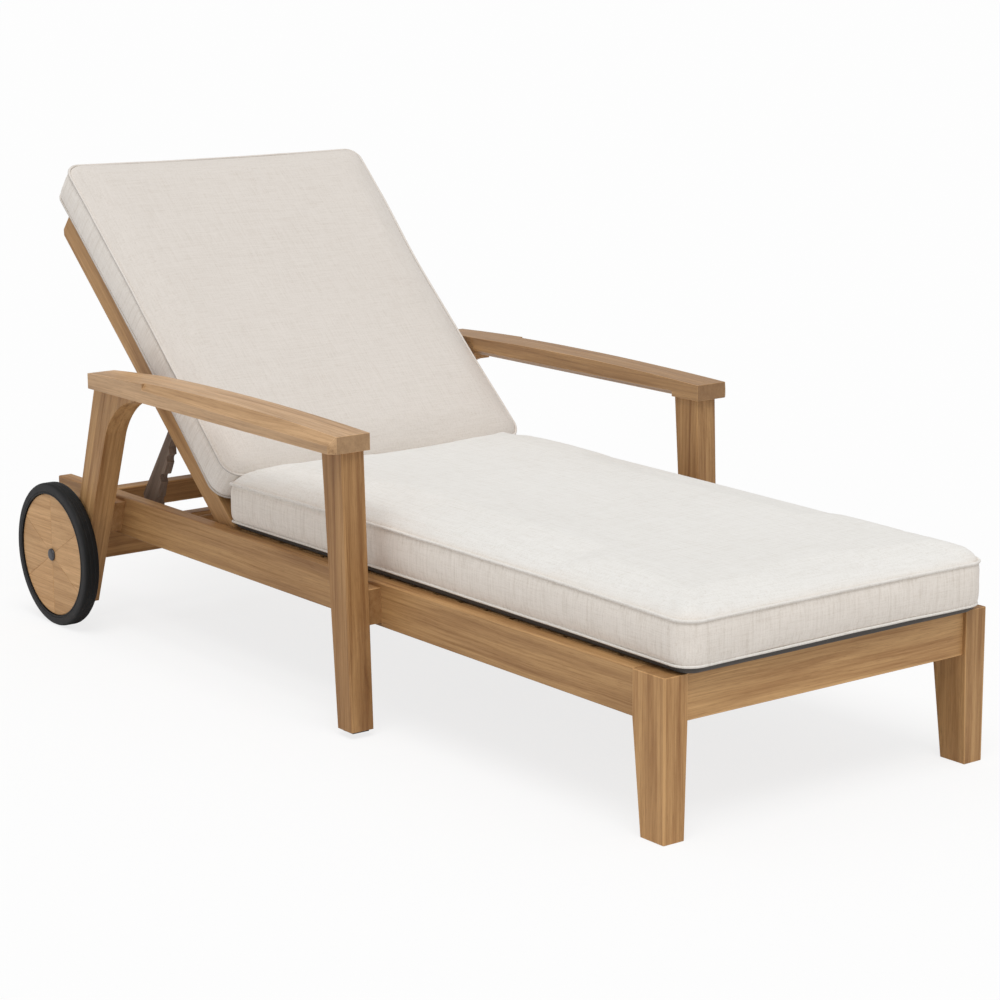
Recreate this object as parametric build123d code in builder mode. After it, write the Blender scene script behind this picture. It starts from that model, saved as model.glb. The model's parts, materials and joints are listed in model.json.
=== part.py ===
from build123d import *
import math
import os

# A teak sun lounger: wheeled frame with arms, a reclining backrest held by notched stays,
# and two piped cushions. Millimetres. X runs along the length with the foot end at +X,
# the occupant's right side is -Y, Z is up, and the floor is Z = 0.
# Every "_back" value is a distance towards the head from the front face of the foot legs.

os.makedirs("parts", exist_ok=True)

# Overall
foot_face_x = 1007.4        # front face of the foot legs, with the whole length centred on X = 0
rail_top_z = 280.0
leg_outer_y = 368.0
fit_gap = 0.1               # glue gap across a tenon, pin or bolt
soft_gap = 0.4              # air between a cushion and what it lies on
overrun = 5.0               # how far a cutting shape runs past the wood

# Side rails
rail_height = 82.0
rail_thickness = 32.0
rail_recess = 3.0           # rail face behind the leg face
tail_back = 2028.0
arris = 2.0
slat_arris = 1.5
upright_share = 0.9         # how upright an edge must be to count as standing

# Foot legs
foot_leg_width = 80.0
foot_leg_foot_width = 58.5
foot_leg_thickness = 49.5
foot_leg_foot_thickness = 44.0

# Mortise and tenon joints of the frame
tenon_length = 30.0
tenon_height = 52.0
tenon_thickness = 12.0

# Cross rails and axle beam
foot_rail_recess = 7.5
foot_rail_thickness = 30.0
rear_rail_ahead = 32.0      # from its front face to the axle
rear_rail_thickness = 37.0
rear_rail_height = 47.0
short_tenon_length = 20.0
short_tenon_height = 26.0
hinge_rail_back = 1296.0
hinge_rail_thickness = 30.0
hinge_rail_height = 48.0
beam_ahead = 15.0           # from its front face to the axle
beam_thickness = 34.0
beam_overhang = 26.0        # beyond each side rail
beam_under_axle = 22.0      # from the axle's centre to the beam's underside
beam_tenon_length = 30.0    # up into each side rail
beam_tenon_width = 20.0
beam_tenon_thickness = 14.0

# Seat slats and what they lie on
slat_thickness = 16.0
slat_width = 62.0
slat_count = 17
slat_start = 86.0
slat_end = 1330.0
slat_end_gap = 0.6
ledger_width = 22.0
ledger_height = 28.0
ledger_end_gap = 1.0
centre_batten_width = 44.0
centre_batten_height = 18.0

# Arm legs and the packing blocks between them and the rails
arm_leg_inner_y = 393.5
arm_leg_thickness = 49.0
arm_bottom_z = 530.0
front_leg_foot_back = 783.3
front_leg_top_back = 800.2
front_leg_foot_width = 46.7
front_leg_top_width = 66.9
arm_leg_clearance = 13.0    # photographed: the front arm legs end just clear of the floor
glide_thickness = 4.0
glide_inset = 7.0
rear_leg_foot_back = 1833.0
rear_leg_top_back = 1631.3
rear_leg_foot_width = 51.0
rear_leg_top_width = 75.4
rear_leg_end_z = 48.0
knee_tip_back = 1545.0      # the curved knee under the arm, forward of the rear leg
knee_tip_height = 13.0
knee_mid_back = 1617.0
knee_mid_z = 491.0
knee_end_z = 430.0
packing_height = 66.0
packing_lift = 8.0
packing_inset = 4.0

# Arms
arm_front_back = 790.5
arm_rear_back = 1682.0
arm_outer_y = 471.0
arm_inner_y = 387.0
arm_end_thickness = 31.5
arm_camber = 10.5
arm_clip_length = 165.0
arm_clip_depth = 22.0
arm_corner_facet = 12.0
bevel_start_back = 1462.0
bevel_front_z = 545.0
bevel_rear_z = 556.0
bevel_lean_share = 0.69
bevel_height = 30.0         # of the cutting shape
relief_front_back = 868.0
relief_rear_back = 1540.0
relief_height = 11.0
relief_depth = 17.0
arm_tenon_height = 20.0
arm_tenon_length = 34.0
arm_tenon_thickness = 16.0
rear_arm_tenon_back = 1640.0

# Wheels and axle
wheel_from_tail = 170.0     # from the axle to the tail end of the rails
wheel_radius = 152.0
tyre_depth = 22.0
tyre_shoulder = 9.0
wheel_width = 35.0
sleeve_length = 53.7        # between the beam's end and the wheel
disc_recess = 3.5
disc_bevel = 2.0
rim_gap = 0.15              # between the wooden disc and the tyre
axle_diameter = 14.0
bush_wall = 4.0
end_play = 0.3              # between a turning end face and its neighbour
sleeve_diameter = 24.0
cap_diameter = 26.0
cap_thickness = 5.0
cap_bevel = 2.5
cap_seat = 2.5

# Backrest, drawn in its own upright plane: s runs up the stile from the hinge pin,
# h is the height over the stile's centre line towards the sitter
recline_rest = 41.3
hinge_back = 1367.0
hinge_z = 256.0
stile_thickness = 28.0
stile_depth = 48.0
stile_length = 861.0        # from the pin to the top end
stile_corner = 9.0
stile_side_gap = 2.0        # air between rail and stile
back_slat_thickness = 14.0
back_slat_width = 54.0
back_slat_count = 9
back_slat_start = 112.0
back_slat_margin = 11.0     # between the last slat and the top rail
back_tenon = 9.0
bottom_rail_start = 16.0
bottom_rail_width = 70.0
top_rail_width = 58.0
back_rail_thickness = 26.0
back_tenon_depth = 12.0
hinge_pin_diameter = 12.0
hinge_pin_seat = 22.0
running_gap = 0.05
hinge_pin_end_gap = 2.0

# Notched stays under the backrest, and the bar that they stand on
stay_pin_s = 329.0
stay_pin_h = -7.0
stay_pin_diameter = 8.0
stay_pin_seat = 20.0
stay_pin_head = 14.0
stay_pin_head_height = 3.0
stay_thickness = 18.0
stay_side_gap = 0.6
stay_head_radius = 15.0
stay_lean_rest = 31.3       # from plumb, foot of the stay towards the head end
# Outline of a stay as (distance down from its pin, offset towards the foot end)
stay_edge_table = (
    (12.0, 9.0), (85.0, 7.0), (97.0, 15.5), (140.0, 18.0), (185.0, 17.5),
    (220.0, 25.0), (236.0, 31.0), (250.0, 40.5), (274.0, 40.5), (284.0, 31.0),
    (284.0, 11.0), (244.0, -29.0), (71.0, -12.5), (12.0, -9.0),
)
stay_notch_radius = 11.5
# Centre of each notch: down from the pin, and offset towards the foot end
stay_notch_table = ((109.0, 22.5), (162.0, 20.0), (215.0, 31.5), (268.0, 51.0))
stay_tie_diameter = 14.0
stay_tie_drop = 42.0
stay_tie_offset = -2.0
stay_tie_seat = 10.0        # into each stay
bar_diameter = 20.0
bar_seat = 20.0             # into each side rail

# Cushions
seat_side_clearance = 51.5  # to the arm legs
seat_front_overhang = 23.3
seat_rear_back = 1353.0
seat_seam_low_z = 293.0
seat_seam_high_z = 370.0
seat_crown = 24.0
seat_corner = 38.0
back_side_clearance = 31.5  # to the arm legs on the average of both sides
back_side_shift = 20.0      # the photographed cushion sits this far towards the left arm
back_start = 68.0
back_overhang = 63.0        # beyond the stiles
back_seam_low_h = 35.0
back_seam_high_h = 107.0
back_crown = 20.0
back_corner = 40.0

quarter_turn = 90.0
full_turn = 360.0
corner_share = 1 - math.sqrt(0.5)
side_pull = 4.0             # how far a cushion's sides draw in between its corners
# Inset of each layer of a cushion from the outline of its seams, from below
cushion_inset_table = (11.0, 0.0, 0.0, 20.0, 110.0)
crown_shares = (0.55, 1.0)

# Fasteners
leg_bolt_diameter = 10.0
leg_bolt_head = 20.0
leg_bolt_head_height = 6.0
leg_bolt_reach = 36.0       # into the arm leg
leg_bolt_z = 218.0

# Derived places
wheel_back = tail_back - wheel_from_tail
rear_rail_back = wheel_back - rear_rail_ahead
beam_back = wheel_back - beam_ahead
rail_bottom_z = rail_top_z - rail_height
rail_outer_y = leg_outer_y - rail_recess
rail_inner_y = rail_outer_y - rail_thickness
rail_mid_y = rail_outer_y - rail_thickness / 2
rail_mid_z = rail_top_z - rail_height / 2
leg_inner_y = leg_outer_y - foot_leg_thickness
arm_leg_outer_y = arm_leg_inner_y + arm_leg_thickness
arm_leg_mid_y = arm_leg_inner_y + arm_leg_thickness / 2
beam_half_length = rail_outer_y + beam_overhang
wheel_inner_y = beam_half_length + sleeve_length + end_play
wheel_outer_y = wheel_inner_y + wheel_width
axle_z = wheel_radius
beam_bottom_z = axle_z - beam_under_axle
stile_outer_y = rail_inner_y - stile_side_gap
stile_inner_y = stile_outer_y - stile_thickness
stay_outer_y = stile_inner_y - stay_side_gap
stay_inner_y = stay_outer_y - stay_thickness
slat_bottom_z = rail_top_z - slat_thickness
slat_pitch = (slat_end - slat_start - slat_width) / (slat_count - 1)
foot_rail_mid_back = foot_rail_recess + foot_rail_thickness / 2
rear_tenon_place = (rear_rail_back + rear_rail_thickness / 2, rail_top_z - rear_rail_height / 2)
hinge_tenon_place = (hinge_rail_back + hinge_rail_thickness / 2,
                     slat_bottom_z - hinge_rail_height / 2)
packing_low_z = rail_bottom_z + packing_lift
packing_high_z = packing_low_z + packing_height
arm_end_top_z = arm_bottom_z + arm_end_thickness
bush_radius = axle_diameter / 2 + running_gap + bush_wall
disc_radius = wheel_radius - tyre_depth - rim_gap
disc_inner_y = wheel_inner_y + disc_recess
disc_outer_y = wheel_outer_y - disc_recess
cap_inner_y = disc_outer_y + end_play
axle_end_y = cap_inner_y + cap_seat - fit_gap
back_slat_end = stile_length - top_rail_width - back_slat_margin
back_end = stile_length + back_overhang
back_slat_pitch = (back_slat_end - back_slat_start - back_slat_width) / (back_slat_count - 1)
recline_turn = math.radians(recline_rest)
along_back = (-math.cos(recline_turn), 0, math.sin(recline_turn))
out_of_back = (math.sin(recline_turn), 0, math.cos(recline_turn))
lean_turn = math.radians(stay_lean_rest)
stay_down = (-math.sin(lean_turn), 0, -math.cos(lean_turn))
seat_half_width = arm_leg_inner_y - seat_side_clearance
back_half_width = arm_leg_inner_y - back_side_clearance
seat_half_length = (seat_rear_back + seat_front_overhang) / 2
seat_mid_x = foot_face_x + seat_front_overhang - seat_half_length
seat_layer_heights = (
    rail_top_z + soft_gap, seat_seam_low_z, seat_seam_high_z,
    *(seat_seam_high_z + share * seat_crown for share in crown_shares),
)
back_half_length = (back_end - back_start) / 2
back_layer_heights = (
    stile_depth / 2 + soft_gap, back_seam_low_h, back_seam_high_h,
    *(back_seam_high_h + share * back_crown for share in crown_shares),
)
hands = ((-1, "right"), (1, "left"))


def at(back):
    """X of a distance measured back from the foot legs' front face."""
    return foot_face_x - back


def side_plane(y):
    """Upright plane along the lounger at a given Y. Its sketches read X and Z, and extrude to -Y."""
    return Plane(origin=(0, y, 0), x_dir=(1, 0, 0), z_dir=(0, -1, 0))


def slab_plane(side, inner, outer):
    """Plane to extrude a slab from that lies between two distances from the centre line."""
    return side_plane(max(side * inner, side * outer))


def across_plane(x):
    """Upright plane across the lounger. Its sketches read Y and Z, and extrude to +X."""
    return Plane(origin=(x, 0, 0), x_dir=(0, 1, 0), z_dir=(1, 0, 0))


def keep(piece, name):
    piece.part.label = name
    export_step(piece.part, f"parts/{name}.step")


def outline(points):
    """Straight-sided face through the points, in the sketch being built."""
    Polygon(*points, align=None)


def front_leg_face(z):
    """How far back the front arm leg's foot-end face is at a height."""
    return front_leg_foot_back + (front_leg_top_back - front_leg_foot_back) * z / arm_bottom_z


def front_leg_rear(z):
    widening = (front_leg_top_width - front_leg_foot_width) * z / arm_bottom_z
    return front_leg_face(z) + front_leg_foot_width + widening


def rear_leg_face(z):
    """How far back the rear arm leg's foot-end face is at a height, under the knee."""
    return rear_leg_foot_back + (rear_leg_top_back - rear_leg_foot_back) * z / arm_bottom_z


def rear_leg_rear(z):
    widening = (rear_leg_top_width - rear_leg_foot_width) * z / arm_bottom_z
    return rear_leg_face(z) + rear_leg_foot_width + widening


def back_place(s, h):
    """X and Z of a place on the backrest at rest."""
    return (
        at(hinge_back) + s * along_back[0] + h * out_of_back[0],
        hinge_z + s * along_back[2] + h * out_of_back[2],
    )


def stile_plane(y):
    """Plane on the backrest's side. Its sketches read s and h, and extrude to +Y."""
    return Plane(origin=(at(hinge_back), y, hinge_z), x_dir=along_back, z_dir=(0, 1, 0))


def back_plane(h):
    """Plane along the backrest at a height h. Its sketches read Y and s, and extrude to +h."""
    middle_x, middle_z = back_place(0, h)
    return Plane(origin=(middle_x, 0, middle_z), x_dir=(0, 1, 0), z_dir=out_of_back)


def back_centre(h):
    """Middle of the back cushion at a height h."""
    middle_x, middle_z = back_place(back_start + back_half_length, h)
    return (middle_x, back_side_shift, middle_z)


def stay_plane(y):
    """Plane on a stay's side. Its sketches read down and foot-wards, and extrude to -Y."""
    pin_x, pin_z = back_place(stay_pin_s, stay_pin_h)
    return Plane(origin=(pin_x, y, pin_z), x_dir=stay_down, z_dir=(0, -1, 0))


leg_bolt_places = [
    (at((face(leg_bolt_z) + rear(leg_bolt_z)) / 2), leg_bolt_z)
    for face, rear in ((front_leg_face, front_leg_rear), (rear_leg_face, rear_leg_rear))
]
front_arm_tenon_back = (front_leg_top_back + front_leg_top_width / 2)
stay_pin_x, stay_pin_z = back_place(stay_pin_s, stay_pin_h)
bar_down, bar_ahead = stay_notch_table[-1]
bar_x = stay_pin_x + bar_down * stay_down[0] - bar_ahead * stay_down[2]
bar_z = stay_pin_z + bar_down * stay_down[2] + bar_ahead * stay_down[0]
stile_mortise_table = (
    (bottom_rail_start + bottom_rail_width / 2, (stile_depth - back_rail_thickness) / 2,
     bottom_rail_width - 2 * back_tenon, back_tenon_depth),
    (stile_length - top_rail_width / 2, (stile_depth - back_rail_thickness) / 2,
     top_rail_width - 2 * back_tenon, back_tenon_depth),
    *((back_slat_start + back_slat_width / 2 + number * back_slat_pitch,
       (stile_depth - back_slat_thickness) / 2, back_slat_width, back_slat_thickness)
      for number in range(back_slat_count)),
)

# Side rails
for side, hand in hands:
    with BuildPart() as side_rail:
        with BuildSketch(slab_plane(side, rail_inner_y, rail_outer_y)):
            outline([
                (at(foot_leg_width), rail_bottom_z),
                (at(foot_leg_width), rail_top_z),
                (at(tail_back), rail_top_z),
                (at(tail_back), rail_bottom_z),
            ])
        extrude(amount=rail_thickness)
        long_edges = side_rail.edges().filter_by(Axis.X)
        chamfer(long_edges, length=arris)
        with BuildSketch(across_plane(at(foot_leg_width))):
            with Locations((side * rail_mid_y, rail_mid_z)):
                Rectangle(tenon_thickness, tenon_height)
        extrude(amount=tenon_length)
        for middle_back, middle_z in (rear_tenon_place, hinge_tenon_place):
            with BuildSketch(side_plane(side * rail_inner_y)):
                with Locations((at(middle_back), middle_z)):
                    Rectangle(tenon_thickness + fit_gap, short_tenon_height + fit_gap)
            extrude(amount=-side * (short_tenon_length + fit_gap), mode=Mode.SUBTRACT)
        for hole_x, hole_z, hole_radius, hole_depth in (
            (at(hinge_back), hinge_z, (hinge_pin_diameter + fit_gap) / 2, hinge_pin_seat),
            (bar_x, bar_z, (bar_diameter + fit_gap) / 2, bar_seat + fit_gap),
        ):
            with BuildSketch(side_plane(side * rail_inner_y)):
                with Locations((hole_x, hole_z)):
                    Circle(hole_radius)
            extrude(amount=-side * hole_depth, mode=Mode.SUBTRACT)
        with BuildSketch(side_plane(side * rail_inner_y)):
            with Locations(*leg_bolt_places):
                Circle((leg_bolt_diameter + fit_gap) / 2)
        extrude(amount=-side * rail_thickness, mode=Mode.SUBTRACT)
        with BuildSketch(Plane.XY.offset(rail_bottom_z)):
            with Locations((at(beam_back + beam_thickness / 2), side * rail_mid_y)):
                Rectangle(beam_tenon_width + fit_gap, beam_tenon_thickness + fit_gap)
        extrude(amount=beam_tenon_length + fit_gap, mode=Mode.SUBTRACT)
    keep(side_rail, f"side_rail_{hand}")

# Foot legs
for side, hand in hands:
    with BuildPart() as foot_leg:
        with BuildSketch(slab_plane(side, leg_inner_y, leg_outer_y)):
            outline([
                (at(0), 0),
                (at(0), rail_top_z),
                (at(foot_leg_width), rail_top_z),
                (at(foot_leg_width), rail_bottom_z),
                (at(foot_leg_foot_width), 0),
            ])
        extrude(amount=foot_leg_thickness)
        with BuildSketch(across_plane(at(foot_leg_width))):
            outline([
                (side * leg_inner_y, 0),
                (side * (leg_outer_y - foot_leg_foot_thickness), 0),
                (side * leg_inner_y, rail_bottom_z),
            ])
        extrude(amount=foot_leg_width, mode=Mode.SUBTRACT)
        front_corner = foot_leg.edges().filter_by(Axis.Z).sort_by(SortBy.LENGTH)[-1]
        chamfer(front_corner, length=arris)
        with BuildSketch(across_plane(at(foot_leg_width))):
            with Locations((side * rail_mid_y, rail_mid_z)):
                Rectangle(tenon_thickness + fit_gap, tenon_height + fit_gap)
        extrude(amount=tenon_length + fit_gap, mode=Mode.SUBTRACT)
        with BuildSketch(side_plane(side * leg_inner_y)):
            with Locations((at(foot_rail_mid_back), rail_mid_z)):
                Rectangle(tenon_thickness + fit_gap, tenon_height + fit_gap)
        extrude(amount=-side * (tenon_length + fit_gap), mode=Mode.SUBTRACT)
    keep(foot_leg, f"foot_leg_{hand}")


def cross_rail(half_span, front_back, thickness, top_z, height, tenon):
    """Rail across the lounger with a tenon at each end; tenon is (thickness, height, length)."""
    with BuildPart() as rail:
        with BuildSketch(side_plane(half_span)):
            outline([
                (at(front_back), top_z - height),
                (at(front_back), top_z),
                (at(front_back + thickness), top_z),
                (at(front_back + thickness), top_z - height),
            ])
        extrude(amount=2 * half_span)
        chamfer(rail.edges().filter_by(Axis.Y), length=arris)
        with BuildSketch(side_plane(half_span + tenon[2])):
            with Locations((at(front_back + thickness / 2), top_z - height / 2)):
                Rectangle(tenon[0], tenon[1])
        extrude(amount=2 * (half_span + tenon[2]))
    return rail


# Cross rails
foot_cross_rail = cross_rail(
    leg_inner_y, foot_rail_recess, foot_rail_thickness, rail_top_z, rail_height,
    (tenon_thickness, tenon_height, tenon_length))
keep(foot_cross_rail, "foot_cross_rail")
rear_cross_rail = cross_rail(
    rail_inner_y, rear_rail_back, rear_rail_thickness, rail_top_z, rear_rail_height,
    (tenon_thickness, short_tenon_height, short_tenon_length))
keep(rear_cross_rail, "rear_cross_rail")
hinge_cross_rail = cross_rail(
    rail_inner_y, hinge_rail_back, hinge_rail_thickness, slat_bottom_z, hinge_rail_height,
    (tenon_thickness, short_tenon_height, short_tenon_length))
keep(hinge_cross_rail, "hinge_cross_rail")

# Axle beam under the rails
with BuildPart() as axle_beam:
    with BuildSketch(side_plane(beam_half_length)):
        outline([
            (at(beam_back), beam_bottom_z),
            (at(beam_back), rail_bottom_z),
            (at(beam_back + beam_thickness), rail_bottom_z),
            (at(beam_back + beam_thickness), beam_bottom_z),
        ])
    extrude(amount=2 * beam_half_length)
    chamfer(axle_beam.edges().filter_by(Axis.Y), length=arris)
    with BuildSketch(side_plane(beam_half_length)):
        with Locations((at(wheel_back), axle_z)):
            Circle((axle_diameter + fit_gap) / 2)
    extrude(amount=2 * beam_half_length, mode=Mode.SUBTRACT)
    with BuildSketch(Plane.XY.offset(rail_bottom_z)):
        with Locations([(at(beam_back + beam_thickness / 2), side * rail_mid_y) for side, hand in hands]):
            Rectangle(beam_tenon_width, beam_tenon_thickness)
    extrude(amount=beam_tenon_length)
keep(axle_beam, "axle_beam")

# Seat: ledgers inside the rails, a centre batten, and the slats that lie on them
for side, hand in hands:
    with BuildPart() as seat_ledger:
        with BuildSketch(slab_plane(side, rail_inner_y - ledger_width, rail_inner_y)):
            outline([
                (at(foot_leg_width + ledger_end_gap), slat_bottom_z - ledger_height),
                (at(foot_leg_width + ledger_end_gap), slat_bottom_z),
                (at(hinge_rail_back - ledger_end_gap), slat_bottom_z),
                (at(hinge_rail_back - ledger_end_gap), slat_bottom_z - ledger_height),
            ])
        extrude(amount=ledger_width)
    keep(seat_ledger, f"seat_ledger_{hand}")
with BuildPart() as centre_batten:
    with BuildSketch(across_plane(at(hinge_rail_back))):
        with Locations((0, slat_bottom_z - centre_batten_height / 2)):
            Rectangle(centre_batten_width, centre_batten_height)
    extrude(amount=hinge_rail_back - foot_rail_recess - foot_rail_thickness)
keep(centre_batten, "centre_batten")
with BuildPart() as seat_slats:
    with BuildSketch(Plane.XY.offset(slat_bottom_z)):
        with Locations((at((slat_start + slat_end) / 2), 0)):
            with GridLocations(slat_pitch, 0, slat_count, 1):
                Rectangle(slat_width, 2 * (rail_inner_y - slat_end_gap))
    extrude(amount=slat_thickness)
    upper_edges = seat_slats.edges().filter_by(Axis.Y).group_by(Axis.Z)[-1]
    chamfer(upper_edges, length=slat_arris)
keep(seat_slats, "seat_slats")

# Front arm legs
for side, hand in hands:
    with BuildPart() as front_arm_leg:
        with BuildSketch(slab_plane(side, arm_leg_inner_y, arm_leg_outer_y)):
            outline([
                (at(front_leg_face(arm_leg_clearance)), arm_leg_clearance),
                (at(front_leg_face(arm_bottom_z)), arm_bottom_z),
                (at(front_leg_rear(arm_bottom_z)), arm_bottom_z),
                (at(front_leg_rear(arm_leg_clearance)), arm_leg_clearance),
            ])
        extrude(amount=arm_leg_thickness)
        standing = front_arm_leg.edges().filter_by(
            lambda edge: abs((edge % 0.5).Z) > upright_share)
        chamfer(standing, length=arris)
        with BuildSketch(Plane.XY.offset(arm_bottom_z)):
            with Locations((at(front_arm_tenon_back), side * arm_leg_mid_y)):
                Rectangle(arm_tenon_length, arm_tenon_thickness)
        extrude(amount=arm_tenon_height)
        with BuildSketch(side_plane(side * arm_leg_inner_y)):
            with Locations(leg_bolt_places[0]):
                Circle((leg_bolt_diameter + fit_gap) / 2)
        extrude(amount=-side * (leg_bolt_reach + fit_gap), mode=Mode.SUBTRACT)
    keep(front_arm_leg, f"front_arm_leg_{hand}")

# Rear arm legs, each with a curved knee that reaches forward under the arm
for side, hand in hands:
    with BuildPart() as rear_arm_leg:
        with BuildSketch(slab_plane(side, arm_leg_inner_y, arm_leg_outer_y)):
            with BuildLine():
                knee = ThreePointArc(
                    (at(knee_tip_back), arm_bottom_z - knee_tip_height),
                    (at(knee_mid_back), knee_mid_z),
                    (at(rear_leg_face(knee_end_z)), knee_end_z),
                )
                Polyline(
                    knee @ 1,
                    (at(rear_leg_face(rear_leg_end_z)), rear_leg_end_z),
                    (at(rear_leg_rear(rear_leg_end_z)), rear_leg_end_z),
                    (at(rear_leg_rear(arm_bottom_z)), arm_bottom_z),
                    (at(knee_tip_back), arm_bottom_z),
                    knee @ 0,
                )
            make_face()
        extrude(amount=arm_leg_thickness)
        with BuildSketch(Plane.XY.offset(arm_bottom_z)):
            with Locations((at(rear_arm_tenon_back), side * arm_leg_mid_y)):
                Rectangle(arm_tenon_length, arm_tenon_thickness)
        extrude(amount=arm_tenon_height)
        with BuildSketch(side_plane(side * arm_leg_inner_y)):
            with Locations(leg_bolt_places[1]):
                Circle((leg_bolt_diameter + fit_gap) / 2)
        extrude(amount=-side * (leg_bolt_reach + fit_gap), mode=Mode.SUBTRACT)
    keep(rear_arm_leg, f"rear_arm_leg_{hand}")

# Packing blocks between the rails and the arm legs
for side, hand in hands:
    for end, face, rear, bolt_place in (
        ("front", front_leg_face, front_leg_rear, leg_bolt_places[0]),
        ("rear", rear_leg_face, rear_leg_rear, leg_bolt_places[1]),
    ):
        with BuildPart() as packing:
            with BuildSketch(slab_plane(side, rail_outer_y, arm_leg_inner_y)):
                outline([
                    (at(face(packing_low_z) + packing_inset), packing_low_z),
                    (at(face(packing_high_z) + packing_inset), packing_high_z),
                    (at(rear(packing_high_z) - packing_inset), packing_high_z),
                    (at(rear(packing_low_z) - packing_inset), packing_low_z),
                ])
                with Locations(bolt_place):
                    Circle((leg_bolt_diameter + fit_gap) / 2, mode=Mode.SUBTRACT)
            extrude(amount=arm_leg_inner_y - rail_outer_y)
        keep(packing, f"packing_block_{end}_{hand}")

# Glides under the front arm legs
for side, hand in hands:
    with BuildPart() as arm_leg_glide:
        with BuildSketch(Plane.XY.offset(arm_leg_clearance - glide_thickness)):
            with Locations((at((front_leg_face(0) + front_leg_rear(0)) / 2), side * arm_leg_mid_y)):
                Rectangle(front_leg_foot_width - 2 * glide_inset,
                          arm_leg_thickness - 2 * glide_inset)
        extrude(amount=glide_thickness)
    keep(arm_leg_glide, f"arm_leg_glide_{hand}")

# Bolts that hold the arm legs, with their heads on the rails' inner faces
with BuildPart() as arm_leg_bolts:
    for side, hand in hands:
        with BuildSketch(side_plane(side * rail_inner_y)):
            with Locations(*leg_bolt_places):
                Circle(leg_bolt_diameter / 2)
        extrude(amount=-side * (arm_leg_inner_y + leg_bolt_reach - rail_inner_y))
        with BuildSketch(side_plane(side * rail_inner_y)):
            with Locations(*leg_bolt_places):
                Circle(leg_bolt_head / 2)
        extrude(amount=side * leg_bolt_head_height)
keep(arm_leg_bolts, "arm_leg_bolts")

# Arms: cambered on top, with a stopped bevel outside and a stopped relief inside below
for side, hand in hands:
    with BuildPart() as arm:
        with BuildSketch(slab_plane(side, arm_inner_y, arm_outer_y)):
            with BuildLine():
                camber = ThreePointArc(
                    (at(arm_front_back), arm_end_top_z),
                    (at((arm_front_back + arm_rear_back) / 2), arm_end_top_z + arm_camber),
                    (at(arm_rear_back), arm_end_top_z),
                )
                Polyline(
                    camber @ 1,
                    (at(arm_rear_back), arm_bottom_z),
                    (at(arm_front_back), arm_bottom_z),
                    camber @ 0,
                )
            make_face()
        extrude(amount=arm_outer_y - arm_inner_y)
        with BuildSketch(Plane.XY.offset(arm_bottom_z)):
            outline([
                (at(arm_rear_back), side * arm_inner_y),
                (at(arm_rear_back), side * (arm_inner_y + arm_clip_depth)),
                (at(arm_rear_back - arm_clip_length), side * arm_inner_y),
            ])
            outline([
                (at(arm_front_back), side * arm_outer_y),
                (at(arm_front_back), side * (arm_outer_y - arm_corner_facet)),
                (at(arm_front_back + arm_corner_facet), side * arm_outer_y),
            ])
        extrude(amount=arm_end_thickness + arm_camber, mode=Mode.SUBTRACT)
        for section_back, low_z in (
            (arm_front_back, bevel_front_z),
            (bevel_start_back, bevel_rear_z),
        ):
            with BuildSketch(across_plane(at(section_back))):
                outline([
                    (side * arm_outer_y, low_z),
                    (side * (arm_outer_y - bevel_lean_share * bevel_height), low_z + bevel_height),
                    (side * (arm_outer_y + overrun), low_z + bevel_height),
                    (side * (arm_outer_y + overrun), low_z),
                ])
        loft(ruled=True, mode=Mode.SUBTRACT)
        with BuildSketch(across_plane(at(relief_rear_back))):
            outline([
                (side * arm_inner_y, arm_bottom_z),
                (side * (arm_inner_y + relief_depth), arm_bottom_z),
                (side * arm_inner_y, arm_bottom_z + relief_height),
            ])
        extrude(amount=relief_rear_back - relief_front_back, mode=Mode.SUBTRACT)
        with BuildSketch(Plane.XY.offset(arm_bottom_z)):
            with Locations(
                (at(front_arm_tenon_back), side * arm_leg_mid_y),
                (at(rear_arm_tenon_back), side * arm_leg_mid_y),
            ):
                Rectangle(arm_tenon_length + fit_gap, arm_tenon_thickness + fit_gap)
        extrude(amount=arm_tenon_height + fit_gap, mode=Mode.SUBTRACT)
    keep(arm, f"arm_{hand}")

# Axle, its sleeves and its end caps
with BuildPart() as axle:
    with BuildSketch(side_plane(axle_end_y)):
        with Locations((at(wheel_back), axle_z)):
            Circle(axle_diameter / 2)
    extrude(amount=2 * axle_end_y)
keep(axle, "axle")
with BuildPart() as axle_sleeves:
    for side, hand in hands:
        with BuildSketch(side_plane(side * beam_half_length)):
            with Locations((at(wheel_back), axle_z)):
                Circle(sleeve_diameter / 2)
                Circle((axle_diameter + fit_gap) / 2, mode=Mode.SUBTRACT)
        extrude(amount=-side * sleeve_length)
keep(axle_sleeves, "axle_sleeves")
with BuildPart() as hub_caps:
    for side, hand in hands:
        with BuildSketch(side_plane(side * cap_inner_y)):
            with Locations((at(wheel_back), axle_z)):
                Circle(cap_diameter / 2)
        extrude(amount=-side * cap_thickness)
        outer_rim = hub_caps.edges().sort_by(Axis.Y)[0 if side < 0 else -1]
        chamfer(outer_rim, length=cap_bevel)
        with BuildSketch(side_plane(side * cap_inner_y)):
            with Locations((at(wheel_back), axle_z)):
                Circle((axle_diameter + fit_gap) / 2)
        extrude(amount=-side * cap_seat, mode=Mode.SUBTRACT)
keep(hub_caps, "hub_caps")

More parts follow.
